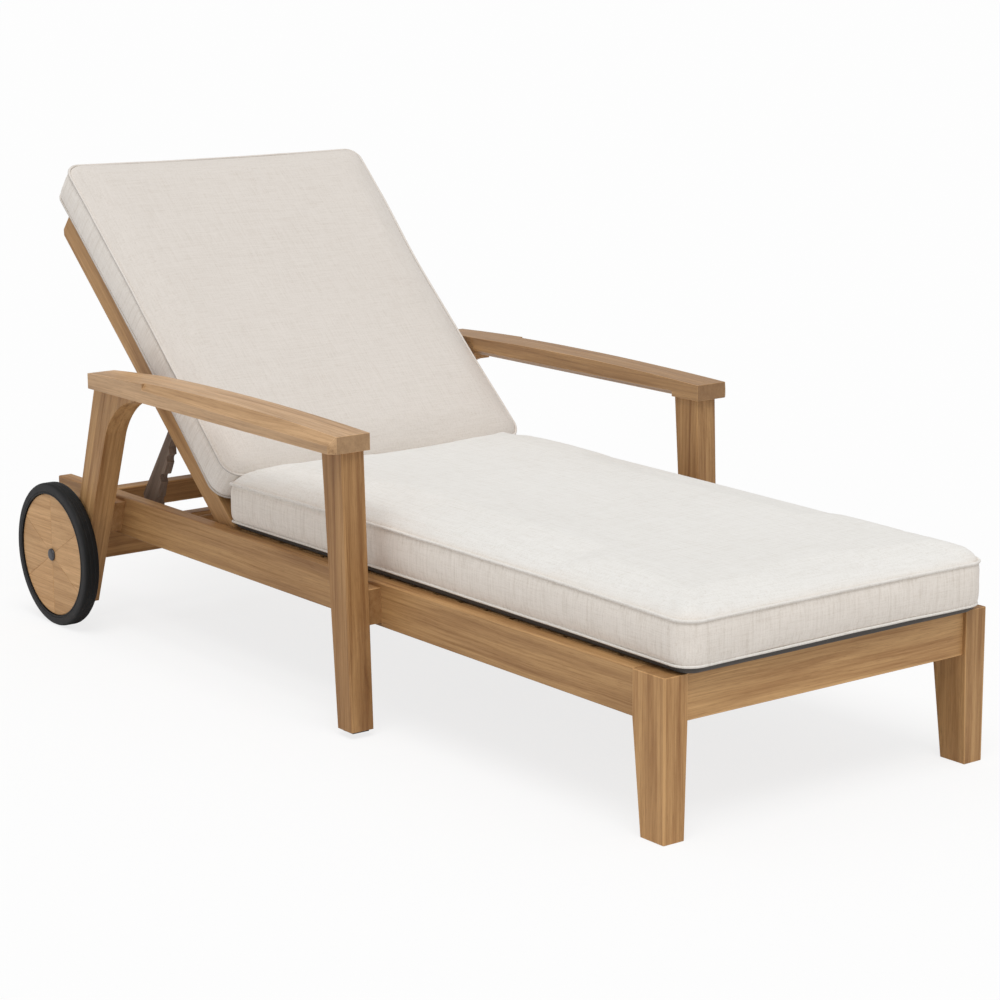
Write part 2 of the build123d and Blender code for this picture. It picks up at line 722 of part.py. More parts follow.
# Wheels
for side, hand in hands:
    with BuildPart() as wheel_disc:
        with BuildSketch(side_plane(side * disc_inner_y)):
            with Locations((at(wheel_back), axle_z)):
                Circle(disc_radius)
                Circle(bush_radius + fit_gap / 2, mode=Mode.SUBTRACT)
        extrude(amount=-side * (disc_outer_y - disc_inner_y))
        rims = wheel_disc.edges().filter_by(GeomType.CIRCLE).sort_by(SortBy.RADIUS)[-2:]
        outer_rim = rims.sort_by(Axis.Y)[0 if side < 0 else -1]
        chamfer(outer_rim, length=disc_bevel)
    keep(wheel_disc, f"wheel_disc_{hand}")
    with BuildPart() as tyre:
        with BuildSketch(across_plane(at(wheel_back))):
            outline([
                (side * wheel_inner_y, axle_z + wheel_radius - tyre_depth),
                (side * wheel_inner_y, axle_z + wheel_radius),
                (side * wheel_outer_y, axle_z + wheel_radius),
                (side * wheel_outer_y, axle_z + wheel_radius - tyre_depth),
            ])
            shoulders = vertices().sort_by(Axis.Y)[-2:]
            chamfer(shoulders, length=tyre_shoulder)
        revolve(axis=Axis((at(wheel_back), 0, axle_z), (0, 1, 0)), revolution_arc=full_turn)
    keep(tyre, f"tyre_{hand}")
    with BuildPart() as wheel_bush:
        with BuildSketch(side_plane(side * wheel_inner_y)):
            with Locations((at(wheel_back), axle_z)):
                Circle(bush_radius)
                Circle(axle_diameter / 2 + running_gap, mode=Mode.SUBTRACT)
        extrude(amount=-side * (disc_outer_y - wheel_inner_y))
    keep(wheel_bush, f"wheel_bush_{hand}")

# Bar across the frame for the stays to stand on
with BuildPart() as stop_bar:
    with BuildSketch(side_plane(rail_inner_y + bar_seat)):
        with Locations((bar_x, bar_z)):
            Circle(bar_diameter / 2)
    extrude(amount=2 * (rail_inner_y + bar_seat))
keep(stop_bar, "stop_bar")

# Backrest stiles, with a round lower end about the hinge pin
for side, hand in hands:
    with BuildPart() as backrest_stile:
        with BuildSketch(stile_plane(min(side * stile_inner_y, side * stile_outer_y))):
            with BuildLine():
                foot_round = CenterArc((0, 0), stile_depth / 2, quarter_turn, 2 * quarter_turn)
                Polyline(
                    foot_round @ 1,
                    (stile_length - stile_corner, -stile_depth / 2),
                    (stile_length, stile_corner - stile_depth / 2),
                    (stile_length, stile_depth / 2),
                    foot_round @ 0,
                )
            make_face()
        extrude(amount=stile_thickness)
        for bore_s, bore_h, bore_radius, bore_depth in (
            (0, 0, hinge_pin_diameter / 2 + running_gap, stile_thickness),
            (stay_pin_s, stay_pin_h, (stay_pin_diameter + fit_gap) / 2, stay_pin_seat),
        ):
            with BuildSketch(stile_plane(side * stile_inner_y)):
                with Locations((bore_s, bore_h)):
                    Circle(bore_radius)
            extrude(amount=side * bore_depth, mode=Mode.SUBTRACT)
        for mortise_s, mortise_h, mortise_width, mortise_depth in stile_mortise_table:
            with BuildSketch(stile_plane(side * stile_inner_y)):
                with Locations((mortise_s, mortise_h)):
                    Rectangle(mortise_width + fit_gap, mortise_depth + fit_gap)
            extrude(amount=side * (back_tenon + fit_gap), mode=Mode.SUBTRACT)
    keep(backrest_stile, f"backrest_stile_{hand}")

# Backrest rails and slats, tenoned into the stiles
for name, start_s, width, thickness in (
    ("backrest_bottom_rail", bottom_rail_start, bottom_rail_width, back_rail_thickness),
    ("backrest_top_rail", stile_length - top_rail_width, top_rail_width, back_rail_thickness),
):
    with BuildPart() as backrest_rail:
        with BuildSketch(back_plane(stile_depth / 2 - thickness)):
            with Locations((0, start_s + width / 2)):
                Rectangle(2 * stile_inner_y, width)
        extrude(amount=thickness)
        chamfer(backrest_rail.edges().filter_by(Axis.Y), length=slat_arris)
        with BuildSketch(back_plane((stile_depth - thickness - back_tenon_depth) / 2)):
            with Locations((0, start_s + width / 2)):
                Rectangle(2 * (stile_inner_y + back_tenon), width - 2 * back_tenon)
        extrude(amount=back_tenon_depth)
    keep(backrest_rail, name)
with BuildPart() as backrest_slats:
    with BuildSketch(back_plane(stile_depth / 2 - back_slat_thickness)):
        with Locations((0, (back_slat_start + back_slat_end) / 2)):
            with GridLocations(0, back_slat_pitch, 1, back_slat_count):
                Rectangle(2 * (stile_inner_y + back_tenon), back_slat_width)
    extrude(amount=back_slat_thickness)
keep(backrest_slats, "backrest_slats")

# Hinge pins
with BuildPart() as hinge_pins:
    for side, hand in hands:
        with BuildSketch(side_plane(side * (stile_inner_y + hinge_pin_end_gap))):
            with Locations((at(hinge_back), hinge_z)):
                Circle(hinge_pin_diameter / 2)
        extrude(amount=-side * (rail_inner_y + hinge_pin_seat - stile_inner_y - hinge_pin_end_gap))
keep(hinge_pins, "hinge_pins")

# Notched stays, the dowel that ties them, and their pins
for side, hand in hands:
    with BuildPart() as prop_stay:
        with BuildSketch(stay_plane(max(side * stay_inner_y, side * stay_outer_y))):
            Circle(stay_head_radius)
            outline(stay_edge_table)
            with Locations(*stay_notch_table):
                Circle(stay_notch_radius, mode=Mode.SUBTRACT)
            Circle(stay_pin_diameter / 2 + running_gap, mode=Mode.SUBTRACT)
        extrude(amount=stay_thickness)
        with BuildSketch(stay_plane(side * stay_inner_y)):
            with Locations((stay_tie_drop, stay_tie_offset)):
                Circle((stay_tie_diameter + fit_gap) / 2)
        extrude(amount=-side * (stay_tie_seat + fit_gap), mode=Mode.SUBTRACT)
    keep(prop_stay, f"prop_stay_{hand}")
with BuildPart() as stay_tie:
    with BuildSketch(stay_plane(stay_inner_y + stay_tie_seat)):
        with Locations((stay_tie_drop, stay_tie_offset)):
            Circle(stay_tie_diameter / 2)
    extrude(amount=2 * (stay_inner_y + stay_tie_seat))
keep(stay_tie, "stay_tie")
with BuildPart() as stay_pins:
    for side, hand in hands:
        with BuildSketch(stay_plane(side * (stay_inner_y - end_play))):
            Circle(stay_pin_diameter / 2)
        extrude(amount=-side * (stile_inner_y + stay_pin_seat - stay_inner_y + end_play))
        with BuildSketch(stay_plane(side * (stay_inner_y - end_play))):
            Circle(stay_pin_head / 2)
        extrude(amount=side * stay_pin_head_height)
keep(stay_pins, "stay_pins")


def cushion(planes, half_length, half_width, corner):
    """Cushion through the given planes: seams at the second and third, crown above."""
    layers = list(zip(planes, cushion_inset_table))
    with BuildPart() as body:
        for lower, upper in zip(layers[:-1], layers[1:]):
            for plane, inset in (lower, upper):
                long = half_length - inset
                wide = half_width - inset
                middle = corner * corner_share
                with BuildSketch(plane):
                    with BuildLine():
                        for way in (-1, 1):
                            ThreePointArc(
                                (corner - long, way * wide),
                                (0, way * (wide - side_pull)),
                                (long - corner, way * wide),
                            )
                            ThreePointArc(
                                (way * long, corner - wide),
                                (way * (long - side_pull), 0),
                                (way * long, wide - corner),
                            )
                            for turn in (-1, 1):
                                ThreePointArc(
                                    (way * long, turn * (wide - corner)),
                                    (way * (long - middle), turn * (wide - middle)),
                                    (way * (long - corner), turn * wide),
                                )
                    make_face()
            loft(ruled=True)
    return body


# Cushions
seat_cushion = cushion(
    [Plane(origin=(seat_mid_x, 0, height), x_dir=(1, 0, 0), z_dir=(0, 0, 1))
     for height in seat_layer_heights],
    seat_half_length, seat_half_width, seat_corner)
keep(seat_cushion, "seat_cushion")
back_cushion = cushion(
    [Plane(origin=back_centre(height), x_dir=along_back, z_dir=out_of_back)
     for height in back_layer_heights],
    back_half_length, back_half_width, back_corner)
keep(back_cushion, "back_cushion")
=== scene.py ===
# %% [markdown]
# A teak sun lounger, dressed for a picture. The wooden frame, its wheels and its fittings come
# from the CAD model, in metres, with the foot end at +X and the occupant's right side at -Y.
# This lesson eases the edges of every wooden piece, gives the wood its grain, dresses the wheels,
# and swaps the two plain cushions for padded ones with piped seams.

# %% Load the frame
import json
import math
import bmesh
import bpy
from mathutils import Matrix, Vector, noise


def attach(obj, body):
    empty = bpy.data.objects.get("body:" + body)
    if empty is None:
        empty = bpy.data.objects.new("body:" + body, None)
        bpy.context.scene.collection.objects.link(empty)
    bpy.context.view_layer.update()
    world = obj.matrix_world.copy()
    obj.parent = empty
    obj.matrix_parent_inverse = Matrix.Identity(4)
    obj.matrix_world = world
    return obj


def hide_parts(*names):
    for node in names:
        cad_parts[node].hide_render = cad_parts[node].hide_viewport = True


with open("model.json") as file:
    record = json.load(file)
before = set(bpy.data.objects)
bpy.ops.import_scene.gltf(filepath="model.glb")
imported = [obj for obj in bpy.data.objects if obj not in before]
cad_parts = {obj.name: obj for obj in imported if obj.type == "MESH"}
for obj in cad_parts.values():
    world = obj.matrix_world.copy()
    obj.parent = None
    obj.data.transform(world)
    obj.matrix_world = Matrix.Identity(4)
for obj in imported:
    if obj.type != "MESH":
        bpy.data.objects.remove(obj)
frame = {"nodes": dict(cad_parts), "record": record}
scene = bpy.context.scene
nodes = frame["nodes"]
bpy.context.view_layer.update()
body_of_node = {
    name: body for body, names in frame["record"]["behaviour"]["bodies"].items() for name in names
}

# %% [markdown]
# The picture was taken with a long lens from the foot end's right, a little above the arms.
# A camera is placed by its position and three angles. The matrix is built from the directions
# in which the camera looks, and its right and up, so the small roll is easy to add.

# %% Camera
yaw, pitch, roll = math.radians(53.08), math.radians(12.27), math.radians(-0.39)
camera_place = (4.14743, -3.05075, 1.46829)
lens_length, film_width, far_clip = 97.30, 36.0, 300.0
look = Vector((
    -math.sin(yaw) * math.cos(pitch), math.cos(yaw) * math.cos(pitch), -math.sin(pitch)))
level_right = Vector((math.cos(yaw), math.sin(yaw), 0))
level_up = level_right.cross(look)
camera_right = level_right * math.cos(roll) + level_up * math.sin(roll)
camera_up = level_up * math.cos(roll) - level_right * math.sin(roll)
camera_data = bpy.data.cameras.new("camera")
camera_data.lens = lens_length
camera_data.sensor_width = film_width
camera_data.clip_end = far_clip
camera = bpy.data.objects.new("camera", camera_data)
scene.collection.objects.link(camera)
camera.matrix_world = Matrix((
    (camera_right.x, camera_up.x, -look.x, camera_place[0]),
    (camera_right.y, camera_up.y, -look.y, camera_place[1]),
    (camera_right.z, camera_up.z, -look.z, camera_place[2]),
    (0, 0, 0, 1),
))
scene.camera = camera
print("camera at", tuple(round(v, 3) for v in camera.matrix_world.translation))

# %% [markdown]
# The light is that of a studio tent: an even white surround, and one broad soft lamp high over
# the foot end. A sun lamp with a wide angle stands for that lamp, because its level is the same
# everywhere. To the camera the surround shows as white paper, whatever its strength as a light.

# %% Light and surround
scene.view_settings.view_transform = "Standard"
paper_white = (0.985, 0.985, 0.985)
tent_strength, paper_strength = 0.52, 1.0
world = bpy.data.worlds.new("white_tent")
scene.world = world
world.use_nodes = True
tree = world.node_tree
tree.nodes.clear()
tent = tree.nodes.new("ShaderNodeBackground")
tent.inputs["Color"].default_value = (1.0, 1.0, 1.0, 1.0)
tent.inputs["Strength"].default_value = tent_strength
paper = tree.nodes.new("ShaderNodeBackground")
paper.inputs["Color"].default_value = (*paper_white, 1.0)
paper.inputs["Strength"].default_value = paper_strength
ray = tree.nodes.new("ShaderNodeLightPath")
chosen = tree.nodes.new("ShaderNodeMixShader")
result = tree.nodes.new("ShaderNodeOutputWorld")
tree.links.new(ray.outputs["Is Camera Ray"], chosen.inputs[0])
tree.links.new(tent.outputs[0], chosen.inputs[1])
tree.links.new(paper.outputs[0], chosen.inputs[2])
tree.links.new(chosen.outputs[0], result.inputs[0])
lamp_strength, lamp_spread = 1.62, math.radians(38)
towards_lamp = Vector((0.20, -0.14, 0.60))
lamp_data = bpy.data.lights.new("soft_lamp", "SUN")
lamp_data.energy = lamp_strength
lamp_data.angle = lamp_spread
lamp = bpy.data.objects.new("soft_lamp", lamp_data)
scene.collection.objects.link(lamp)
lamp.rotation_euler = towards_lamp.to_track_quat("Z", "Y").to_euler()
print("surround", tent_strength, "lamp", lamp_data.energy)

# %% [markdown]
# Every finish is built from shader nodes. A few small helpers keep each recipe short: one adds a
# node, sets its plain values and links what feeds it, and the others are the steps that recur.
# Patterns read Object coordinates, so they stay fixed to the wood or cloth when the backrest or
# a wheel turns.

# %% Shader helpers
def new_finish(name, colour, roughness):
    """A material with its shader, and the shader itself."""
    finish = bpy.data.materials.new(name)
    finish.use_nodes = True
    shader = finish.node_tree.nodes["Principled BSDF"]
    shader.inputs["Base Color"].default_value = (*colour, 1.0)
    shader.inputs["Roughness"].default_value = roughness
    return finish, shader


def put(finish, kind, inputs=None, **settings):
    """Adds a node; each input is a value or the output that feeds it."""
    node = finish.node_tree.nodes.new(kind)
    for key, value in settings.items():
        setattr(node, key, value)
    for key, value in (inputs or {}).items():
        if isinstance(value, bpy.types.NodeSocket):
            finish.node_tree.links.new(value, node.inputs[key])
        else:
            node.inputs[key].default_value = value
    return node


def ramp(finish, source, stops):
    """A colour ramp through (place, colour) stops."""
    node = put(finish, "ShaderNodeValToRGB", {"Fac": source})
    while len(node.color_ramp.elements) < len(stops):
        node.color_ramp.elements.new(0.5)
    for element, (place, colour) in zip(node.color_ramp.elements, stops):
        element.position = place
        element.color = (*colour, 1.0)
    return node.outputs["Color"]


def shade(finish, factor, first, second, how="MIX"):
    """Mixes two colours by a factor."""
    node = put(finish, "ShaderNodeMix", data_type="RGBA", blend_type=how)
    factor_socket, first_socket, second_socket = (node.inputs[n] for n in (0, 6, 7))
    for socket, value in (
        (factor_socket, factor), (first_socket, first), (second_socket, second),
    ):
        if isinstance(value, bpy.types.NodeSocket):
            finish.node_tree.links.new(value, socket)
        elif isinstance(value, (int, float)):
            socket.default_value = value
        else:
            socket.default_value = (*value, 1.0)
    return node.outputs[2]


print("colour helpers ready")


# %% Number and pattern helpers
def sum_of(finish, first, second, how="ADD"):
    """Adds two numbers, or joins them in another way."""
    node = put(finish, "ShaderNodeMath", {0: first, 1: second}, operation=how)
    return node.outputs[0]


def spread(finish, value, low, high, first=0.0, last=1.0):
    """Maps a number from low..high to first..last, and clamps it there."""
    return put(finish, "ShaderNodeMapRange", {
        0: value, 1: low, 2: high, 3: first, 4: last}).outputs[0]


def turned(finish, vector, turn):
    """Coordinates or a normal, turned about the origin."""
    return put(finish, "ShaderNodeMapping", {"Vector": vector, "Rotation": turn},
               vector_type="POINT").outputs[0]


def pushed(finish, place, step, amount):
    """Coordinates moved by a step, times an amount that may vary from spot to spot."""
    push = put(finish, "ShaderNodeVectorMath", {0: step, "Scale": amount}, operation="SCALE")
    return put(finish, "ShaderNodeVectorMath", {0: place, 1: push.outputs[0]},
               operation="ADD").outputs[0]


def clouds(finish, place, scale, detail, roughness=0.55, distortion=0.0):
    """Noise; a scale of three numbers stretches it along the axes."""
    if isinstance(scale, tuple):
        place = put(finish, "ShaderNodeVectorMath", {0: place, 1: scale},
                    operation="MULTIPLY").outputs[0]
        scale = 1.0
    node = put(finish, "ShaderNodeTexNoise", {
        "Vector": place, "Scale": scale, "Detail": detail, "Roughness": roughness,
        "Distortion": distortion})
    return node.outputs["Fac"]


def part_of(finish, vector, axis):
    """One of the three numbers of a vector."""
    return put(finish, "ShaderNodeSeparateXYZ", {0: vector}).outputs[axis]


def roughen(finish, shader, height, strength, distance):
    """Gives the shader a fine relief."""
    relief = put(finish, "ShaderNodeBump", {
        "Height": height, "Strength": strength, "Distance": distance})
    finish.node_tree.links.new(relief.outputs[0], shader.inputs["Normal"])


print("number and pattern helpers ready")

# %% [markdown]
# The lounger stands on a large sheet of white paper. One flat face is enough for it. Plain paper
# would look grey under this light, so to the camera it is lifted by a share of glow, and what is
# left of its own shading keeps the soft shadow. It belongs to the studio and not to the lounger.

# %% Floor
paper_grey = (0.80, 0.80, 0.80)
glow_share, floor_half_size = 0.80, 80.0
floor_finish, floor_shader = new_finish("floor_paper", paper_grey, 0.9)
floor_shader.inputs["Specular IOR Level"].default_value = 0.0
to_camera = put(floor_finish, "ShaderNodeLightPath").outputs["Is Camera Ray"]
floor_tone = shade(floor_finish, to_camera, paper_grey, paper_white)
floor_finish.node_tree.links.new(floor_tone, floor_shader.inputs["Base Color"])
glow = put(floor_finish, "ShaderNodeEmission", {"Color": (*paper_white, 1.0), "Strength": 1.0})
lift = sum_of(floor_finish, to_camera, glow_share, "MULTIPLY")
lifted = put(floor_finish, "ShaderNodeMixShader", {
    0: lift, 1: floor_shader.outputs[0], 2: glow.outputs[0]})
floor_finish.node_tree.links.new(
    lifted.outputs[0], floor_finish.node_tree.nodes["Material Output"].inputs["Surface"])
sheet = bmesh.new()
bmesh.ops.create_grid(sheet, x_segments=1, y_segments=1, size=floor_half_size)
floor_mesh = bpy.data.meshes.new("floor")
sheet.to_mesh(floor_mesh)
sheet.free()
floor = bpy.data.objects.new("floor", floor_mesh)
floor.data.materials.append(floor_finish)
scene.collection.objects.link(floor)
print("floor", floor.dimensions[:2])

# %% [markdown]
# Teak is straight-grained, honey brown and a little oily. Its figure has four scales: broad bands
# of light and dark heartwood, lines, fine streaks, and dark pores like short pencil strokes.
# Each is noise stretched along the grain. The grain of each board runs along its length, so the
# recipe is told how far to turn. End grain is darker. The eased edges are paler, partly as wear
# where hands rub and partly as a painted highlight along the rounded arris. Two values stored on
# the mesh, board and worn_and_highlight, tell boards and those paler edges apart.

# %% Teak
honey, heart = (0.61, 0.362, 0.158), (0.335, 0.165, 0.058)
white = (1.0, 1.0, 1.0)
board_step = (3.1, 7.7, 5.3)
sway_step = (0.0, 0.016, 0.022)
sway_scale, band_scale = (1.6, 9.0, 9.0), (2.2, 52.0, 52.0)
line_scale, streak_scale = (1.5, 210.0, 210.0), (6.0, 760.0, 760.0)
pore_scale = (34.0, 1500.0, 1500.0)


def teak_figure(finish, grain, board, pale, deep):
    """The wood's colour before end grain and wear, and the noises that make it."""
    flowing = pushed(finish, grain, sway_step, clouds(finish, grain, sway_scale, 2.0))
    bands = clouds(finish, flowing, band_scale, 5.0, 0.62, 0.3)
    lines = clouds(finish, flowing, line_scale, 4.0, 0.6)
    streaks = clouds(finish, flowing, streak_scale, 3.0, 0.6)
    pores = clouds(finish, flowing, pore_scale, 1.0, 0.5)
    middle = tuple(0.5 * (p + d) for p, d in zip(pale, deep))
    tone = ramp(finish, bands, [(0.32, deep), (0.47, middle), (0.64, pale)])
    line_tone = ramp(finish, lines, [
        (0.30, (0.70, 0.63, 0.56)), (0.50, (0.97, 0.96, 0.95)), (0.70, (1.03, 1.03, 1.02))])
    streak_tone = ramp(finish, streaks, [
        (0.30, (0.82, 0.78, 0.73)), (0.55, white), (0.75, (1.07, 1.06, 1.05))])
    pore_tone = ramp(finish, pores, [(0.30, (0.55, 0.46, 0.38)), (0.40, white)])
    board_tone = ramp(finish, board, [
        (0.0, (0.86, 0.84, 0.81)), (0.5, white), (1.0, (1.10, 1.08, 1.05))])
    for share, layer in (
        (0.75, line_tone), (0.8, streak_tone), (0.5, pore_tone), (1.0, board_tone),
    ):
        tone = shade(finish, share, tone, layer, "MULTIPLY")
    return tone, bands, lines, streaks, pores


def teak_finish(name, turn, pale=honey, deep=heart, rough=0.48, gloss=0.38):
    """Teak whose grain runs along X once the coordinates have been turned."""
    finish, shader = new_finish(name, (0.45, 0.27, 0.14), rough)
    shader.inputs["Specular IOR Level"].default_value = gloss
    spot = put(finish, "ShaderNodeTexCoord")
    board = put(finish, "ShaderNodeAttribute", attribute_name="board").outputs["Fac"]
    worn_and_highlight = put(finish, "ShaderNodeAttribute", attribute_name="worn_and_highlight").outputs["Fac"]
    grain = pushed(finish, turned(finish, spot.outputs["Object"], turn), board_step, board)
    tone, bands, lines, streaks, pores = teak_figure(finish, grain, board, pale, deep)
    lengthwise = part_of(finish, turned(finish, spot.outputs["Normal"], turn), 0)
    cut_end = spread(finish, sum_of(finish, lengthwise, lengthwise, "MULTIPLY"),
                     0.55, 0.9, 0.0, 0.6)
    tone = shade(finish, cut_end, tone, tuple(0.75 * d for d in deep))
    # Eased edges are painted paler, partly as wear and partly as a painted highlight.
    rub_and_highlight = sum_of(finish, worn_and_highlight, spread(finish, bands, 0.35, 0.6, 0.2, 0.6), "MULTIPLY")
    tone = shade(finish, rub_and_highlight, tone, tuple(min(1.0, 1.2 * p) for p in pale))
    finish.node_tree.links.new(tone, shader.inputs["Base Color"])
    oiliness = spread(finish, lines, 0.3, 0.7, rough + 0.12, rough - 0.03)
    finish.node_tree.links.new(oiliness, shader.inputs["Roughness"])
    height = sum_of(finish, streaks, sum_of(finish, pores, 0.6, "MULTIPLY"))
    roughen(finish, shader, height, 0.22, 0.0004)
    return finish


print("teak runs from", heart, "to", honey)

# %% [markdown]
# No two boards of a lounger have quite the same colour. The near arm is the palest and shiniest,
# and part of its paleness is a painted highlight. The far arm is a little darker. The near front
# leg is darker still, which is painted shade, and the rail across the foot end is made light, as
# painted light against the seat cushion's shadow on it. The stays are old grey-brown wood. One
# recipe with other colours makes them all, and each turn brings the grain along its piece.

# %% Teak finishes
quarter = math.radians(90)
along_piece, across_piece, upright_piece = (0, 0, 0), (0, 0, -quarter), (0, quarter, 0)
teak_along = teak_finish("teak_along", along_piece)
teak_across = teak_finish("teak_across", across_piece)
teak_upright = teak_finish("teak_upright", upright_piece)
teak_stile = teak_finish("teak_stile", (0, math.radians(138.7), 0))
teak_rear_leg = teak_finish("teak_rear_leg", (0, math.radians(70), 0))
# The near arm's paler colours are partly its own tone and partly a painted highlight.
teak_arm_painted_highlight = teak_finish("teak_arm_painted_highlight", along_piece, (0.655, 0.415, 0.215), (0.41, 0.236, 0.105),
                       0.36, 0.70)
teak_far_arm = teak_finish("teak_far_arm", along_piece, (0.545, 0.320, 0.140),
                           (0.325, 0.167, 0.062), 0.36, 0.55)
# The near front arm leg is made darker as painted shade.
teak_leg_painted_shade = teak_finish("teak_leg_painted_shade", upright_piece, (0.485, 0.275, 0.114),
                            (0.262, 0.122, 0.041))
# The foot rail is made lighter as painted light, against the seat cushion's shadow on it.
teak_foot_painted_light = teak_finish("teak_foot_painted_light", across_piece, (0.70, 0.425, 0.190), (0.43, 0.222, 0.084))
teak_stay = teak_finish("teak_stay", (0, math.radians(238.7), 0), (0.310, 0.238, 0.190),
                        (0.195, 0.145, 0.112), 0.6)
print("teak finishes:", [m.name for m in bpy.data.materials if m.name.startswith("teak")])

# %% [markdown]
# A joiner takes the sharp arris off every edge, and without that the wood looks like card.
# Each CAD board is copied, its loose triangles are merged into clean faces, and its sharp edges
# get a small two-step bevel. The bevel's faces are marked for the paler edge, partly wear and
# partly a painted highlight, and each board gets a number between 0 and 1, so that no two boards
# show the same grain.

# %% Mesh helpers
def separate_boards(shape):
    """Lists of the vertices of each loose part."""
    left, boards = set(shape.verts), []
    while left:
        reached = [left.pop()]
        for vertex in reached:
            for edge in vertex.link_edges:
                other = edge.other_vert(vertex)
                if other in left:
                    left.discard(other)
                    reached.append(other)
        boards.append(reached)
    return boards


def finish_mesh(shape, name, body, finish, smooth_angle=32):
    """A Blender object from a bmesh, riding on a body of the frame."""
    mesh = bpy.data.meshes.new(name)
    shape.to_mesh(mesh)
    shape.free()
    mesh.shade_smooth()
    mesh.set_sharp_from_angle(angle=math.radians(smooth_angle))
    mesh.materials.append(finish)
    piece = bpy.data.objects.new(name, mesh)
    scene.collection.objects.link(piece)
    weighted = piece.modifiers.new("even_shading", "WEIGHTED_NORMAL")
    weighted.keep_sharp = True
    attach(piece, body)
    return piece


print("mesh helpers ready")

# %% Eased boards
weld_distance = 2e-5
flat_angle, keen_angle = math.radians(0.4), math.radians(28)


def clean_copy(node):
    """A bmesh of a CAD node, with its triangles welded and its flat faces whole."""
    shape = bmesh.new()
    shape.from_mesh(nodes[node].data)
    bmesh.ops.remove_doubles(shape, verts=shape.verts, dist=weld_distance)
    bmesh.ops.dissolve_limit(
        shape, angle_limit=flat_angle, verts=shape.verts, edges=shape.edges)
    bmesh.ops.recalc_face_normals(shape, faces=shape.faces)
    return shape


def ease(node, finish, width, seed):
    """Replaces a wooden CAD node by a copy with eased edges."""
    shape = clean_copy(node)
    keen = [edge for edge in shape.edges
            if edge.is_manifold and edge.calc_face_angle(0.0) > keen_angle]
    worn_and_highlight = shape.faces.layers.float.new("worn_and_highlight")
    number = shape.verts.layers.float.new("board")
    made = bmesh.ops.bevel(
        shape, geom=keen, offset=width, offset_type="OFFSET", segments=2, profile=0.5,
        affect="EDGES", clamp_overlap=True, loop_slide=True, material=-1)
    # The bevel faces take the paler edge: partly wear, partly a painted highlight.
    for face in made["faces"]:
        face[worn_and_highlight] = 1.0
    for count, board in enumerate(separate_boards(shape)):
        share = (seed + 0.618 * count) % 1.0
        for vertex in board:
            vertex[number] = share
    piece = finish_mesh(shape, node + "_eased", body_of_node[node], finish)
    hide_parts(node)
    return piece


print("edges that turn more than", round(math.degrees(keen_angle)), "degrees get eased")

# %% Every board of the frame and backrest
thin_round, rail_round, stile_round, arm_round = 0.0010, 0.0012, 0.0015, 0.0022
leaning_leg_round, foot_leg_round = 0.0025, 0.0028
eased = {}
for names, finish, width in (
    ("side_rail_right side_rail_left", teak_along, rail_round),
    ("foot_leg_right foot_leg_left", teak_upright, foot_leg_round),
    ("foot_cross_rail", teak_foot_painted_light, rail_round),
    ("rear_cross_rail hinge_cross_rail axle_beam", teak_across, rail_round),
    ("seat_ledger_right seat_ledger_left centre_batten", teak_along, rail_round),
    ("seat_slats", teak_across, thin_round),
    ("front_arm_leg_right", teak_leg_painted_shade, arm_round),
    ("front_arm_leg_left", teak_upright, arm_round),
    ("rear_arm_leg_right rear_arm_leg_left", teak_rear_leg, leaning_leg_round),
    ("packing_block_front_right packing_block_front_left", teak_along, thin_round),
    ("packing_block_rear_right packing_block_rear_left", teak_along, thin_round),
    ("arm_right", teak_arm_painted_highlight, arm_round),
    ("arm_left", teak_far_arm, arm_round),
    ("backrest_stile_right backrest_stile_left", teak_stile, stile_round),
    ("backrest_bottom_rail backrest_top_rail backrest_slats stop_bar", teak_across, thin_round),
):
    for node in names.split():
        seed = (0.137 + 0.381 * len(eased)) % 1.0
        eased[node] = ease(node, finish, width, seed)
for node in ("prop_stay_right", "prop_stay_left", "stay_tie"):
    seed = (0.3 + 0.4 * len(eased)) % 1.0
    eased[node] = ease(node, teak_stay, thin_round, seed)
print(len(eased), "boards eased")

# %% [markdown]
# The small fittings keep their CAD shapes. Steel is brushed along its turning, plastic is
# moulded with a fine grain, and the caps on the axle are satin black. A picture of brush marks
# would need unwrapping, so a stretched noise does it.

# %% Small fittings
def grainy_finish(name, colour, roughness, metallic, scale, variation, bump):
    """A plain finish with a fine speckle in its colour, gloss and surface."""
    finish, shader = new_finish(name, colour, roughness)
    shader.inputs["Metallic"].default_value = metallic
    spot = put(finish, "ShaderNodeTexCoord").outputs["Object"]
    speckle = clouds(finish, spot, scale, 4.0, 0.6)
    darker = tuple(c * (1 - variation) for c in colour)
    paler = tuple(min(1, c * (1 + variation)) for c in colour)
    tone = ramp(finish, speckle, [(0.3, darker), (0.7, paler)])
    finish.node_tree.links.new(tone, shader.inputs["Base Color"])
    gloss = spread(finish, speckle, 0.3, 0.7, roughness - 0.06, roughness + 0.08)
    finish.node_tree.links.new(gloss, shader.inputs["Roughness"])
    roughen(finish, shader, speckle, bump, 0.0003)
    return finish


steel = grainy_finish(
    "brushed_steel", (0.55, 0.55, 0.54), 0.32, 1.0, (900, 60, 900), 0.12, 0.1)
plastic = grainy_finish(
    "black_plastic", (0.03, 0.03, 0.03), 0.5, 0.0, (700, 700, 700), 0.2, 0.2)
cap_metal = grainy_finish(
    "cap_metal", (0.085, 0.085, 0.092), 0.32, 0.75, (500, 500, 500), 0.25, 0.08)
for names, finish in (
    ("axle axle_sleeves hinge_pins stay_pins arm_leg_bolts", steel),
    ("hub_caps", cap_metal),
    ("wheel_bush_right wheel_bush_left arm_leg_glide_right arm_leg_glide_left", plastic),
):
    for name in names.split():
        nodes[name].data.materials.clear()
        nodes[name].data.materials.append(finish)
print("fittings finished")

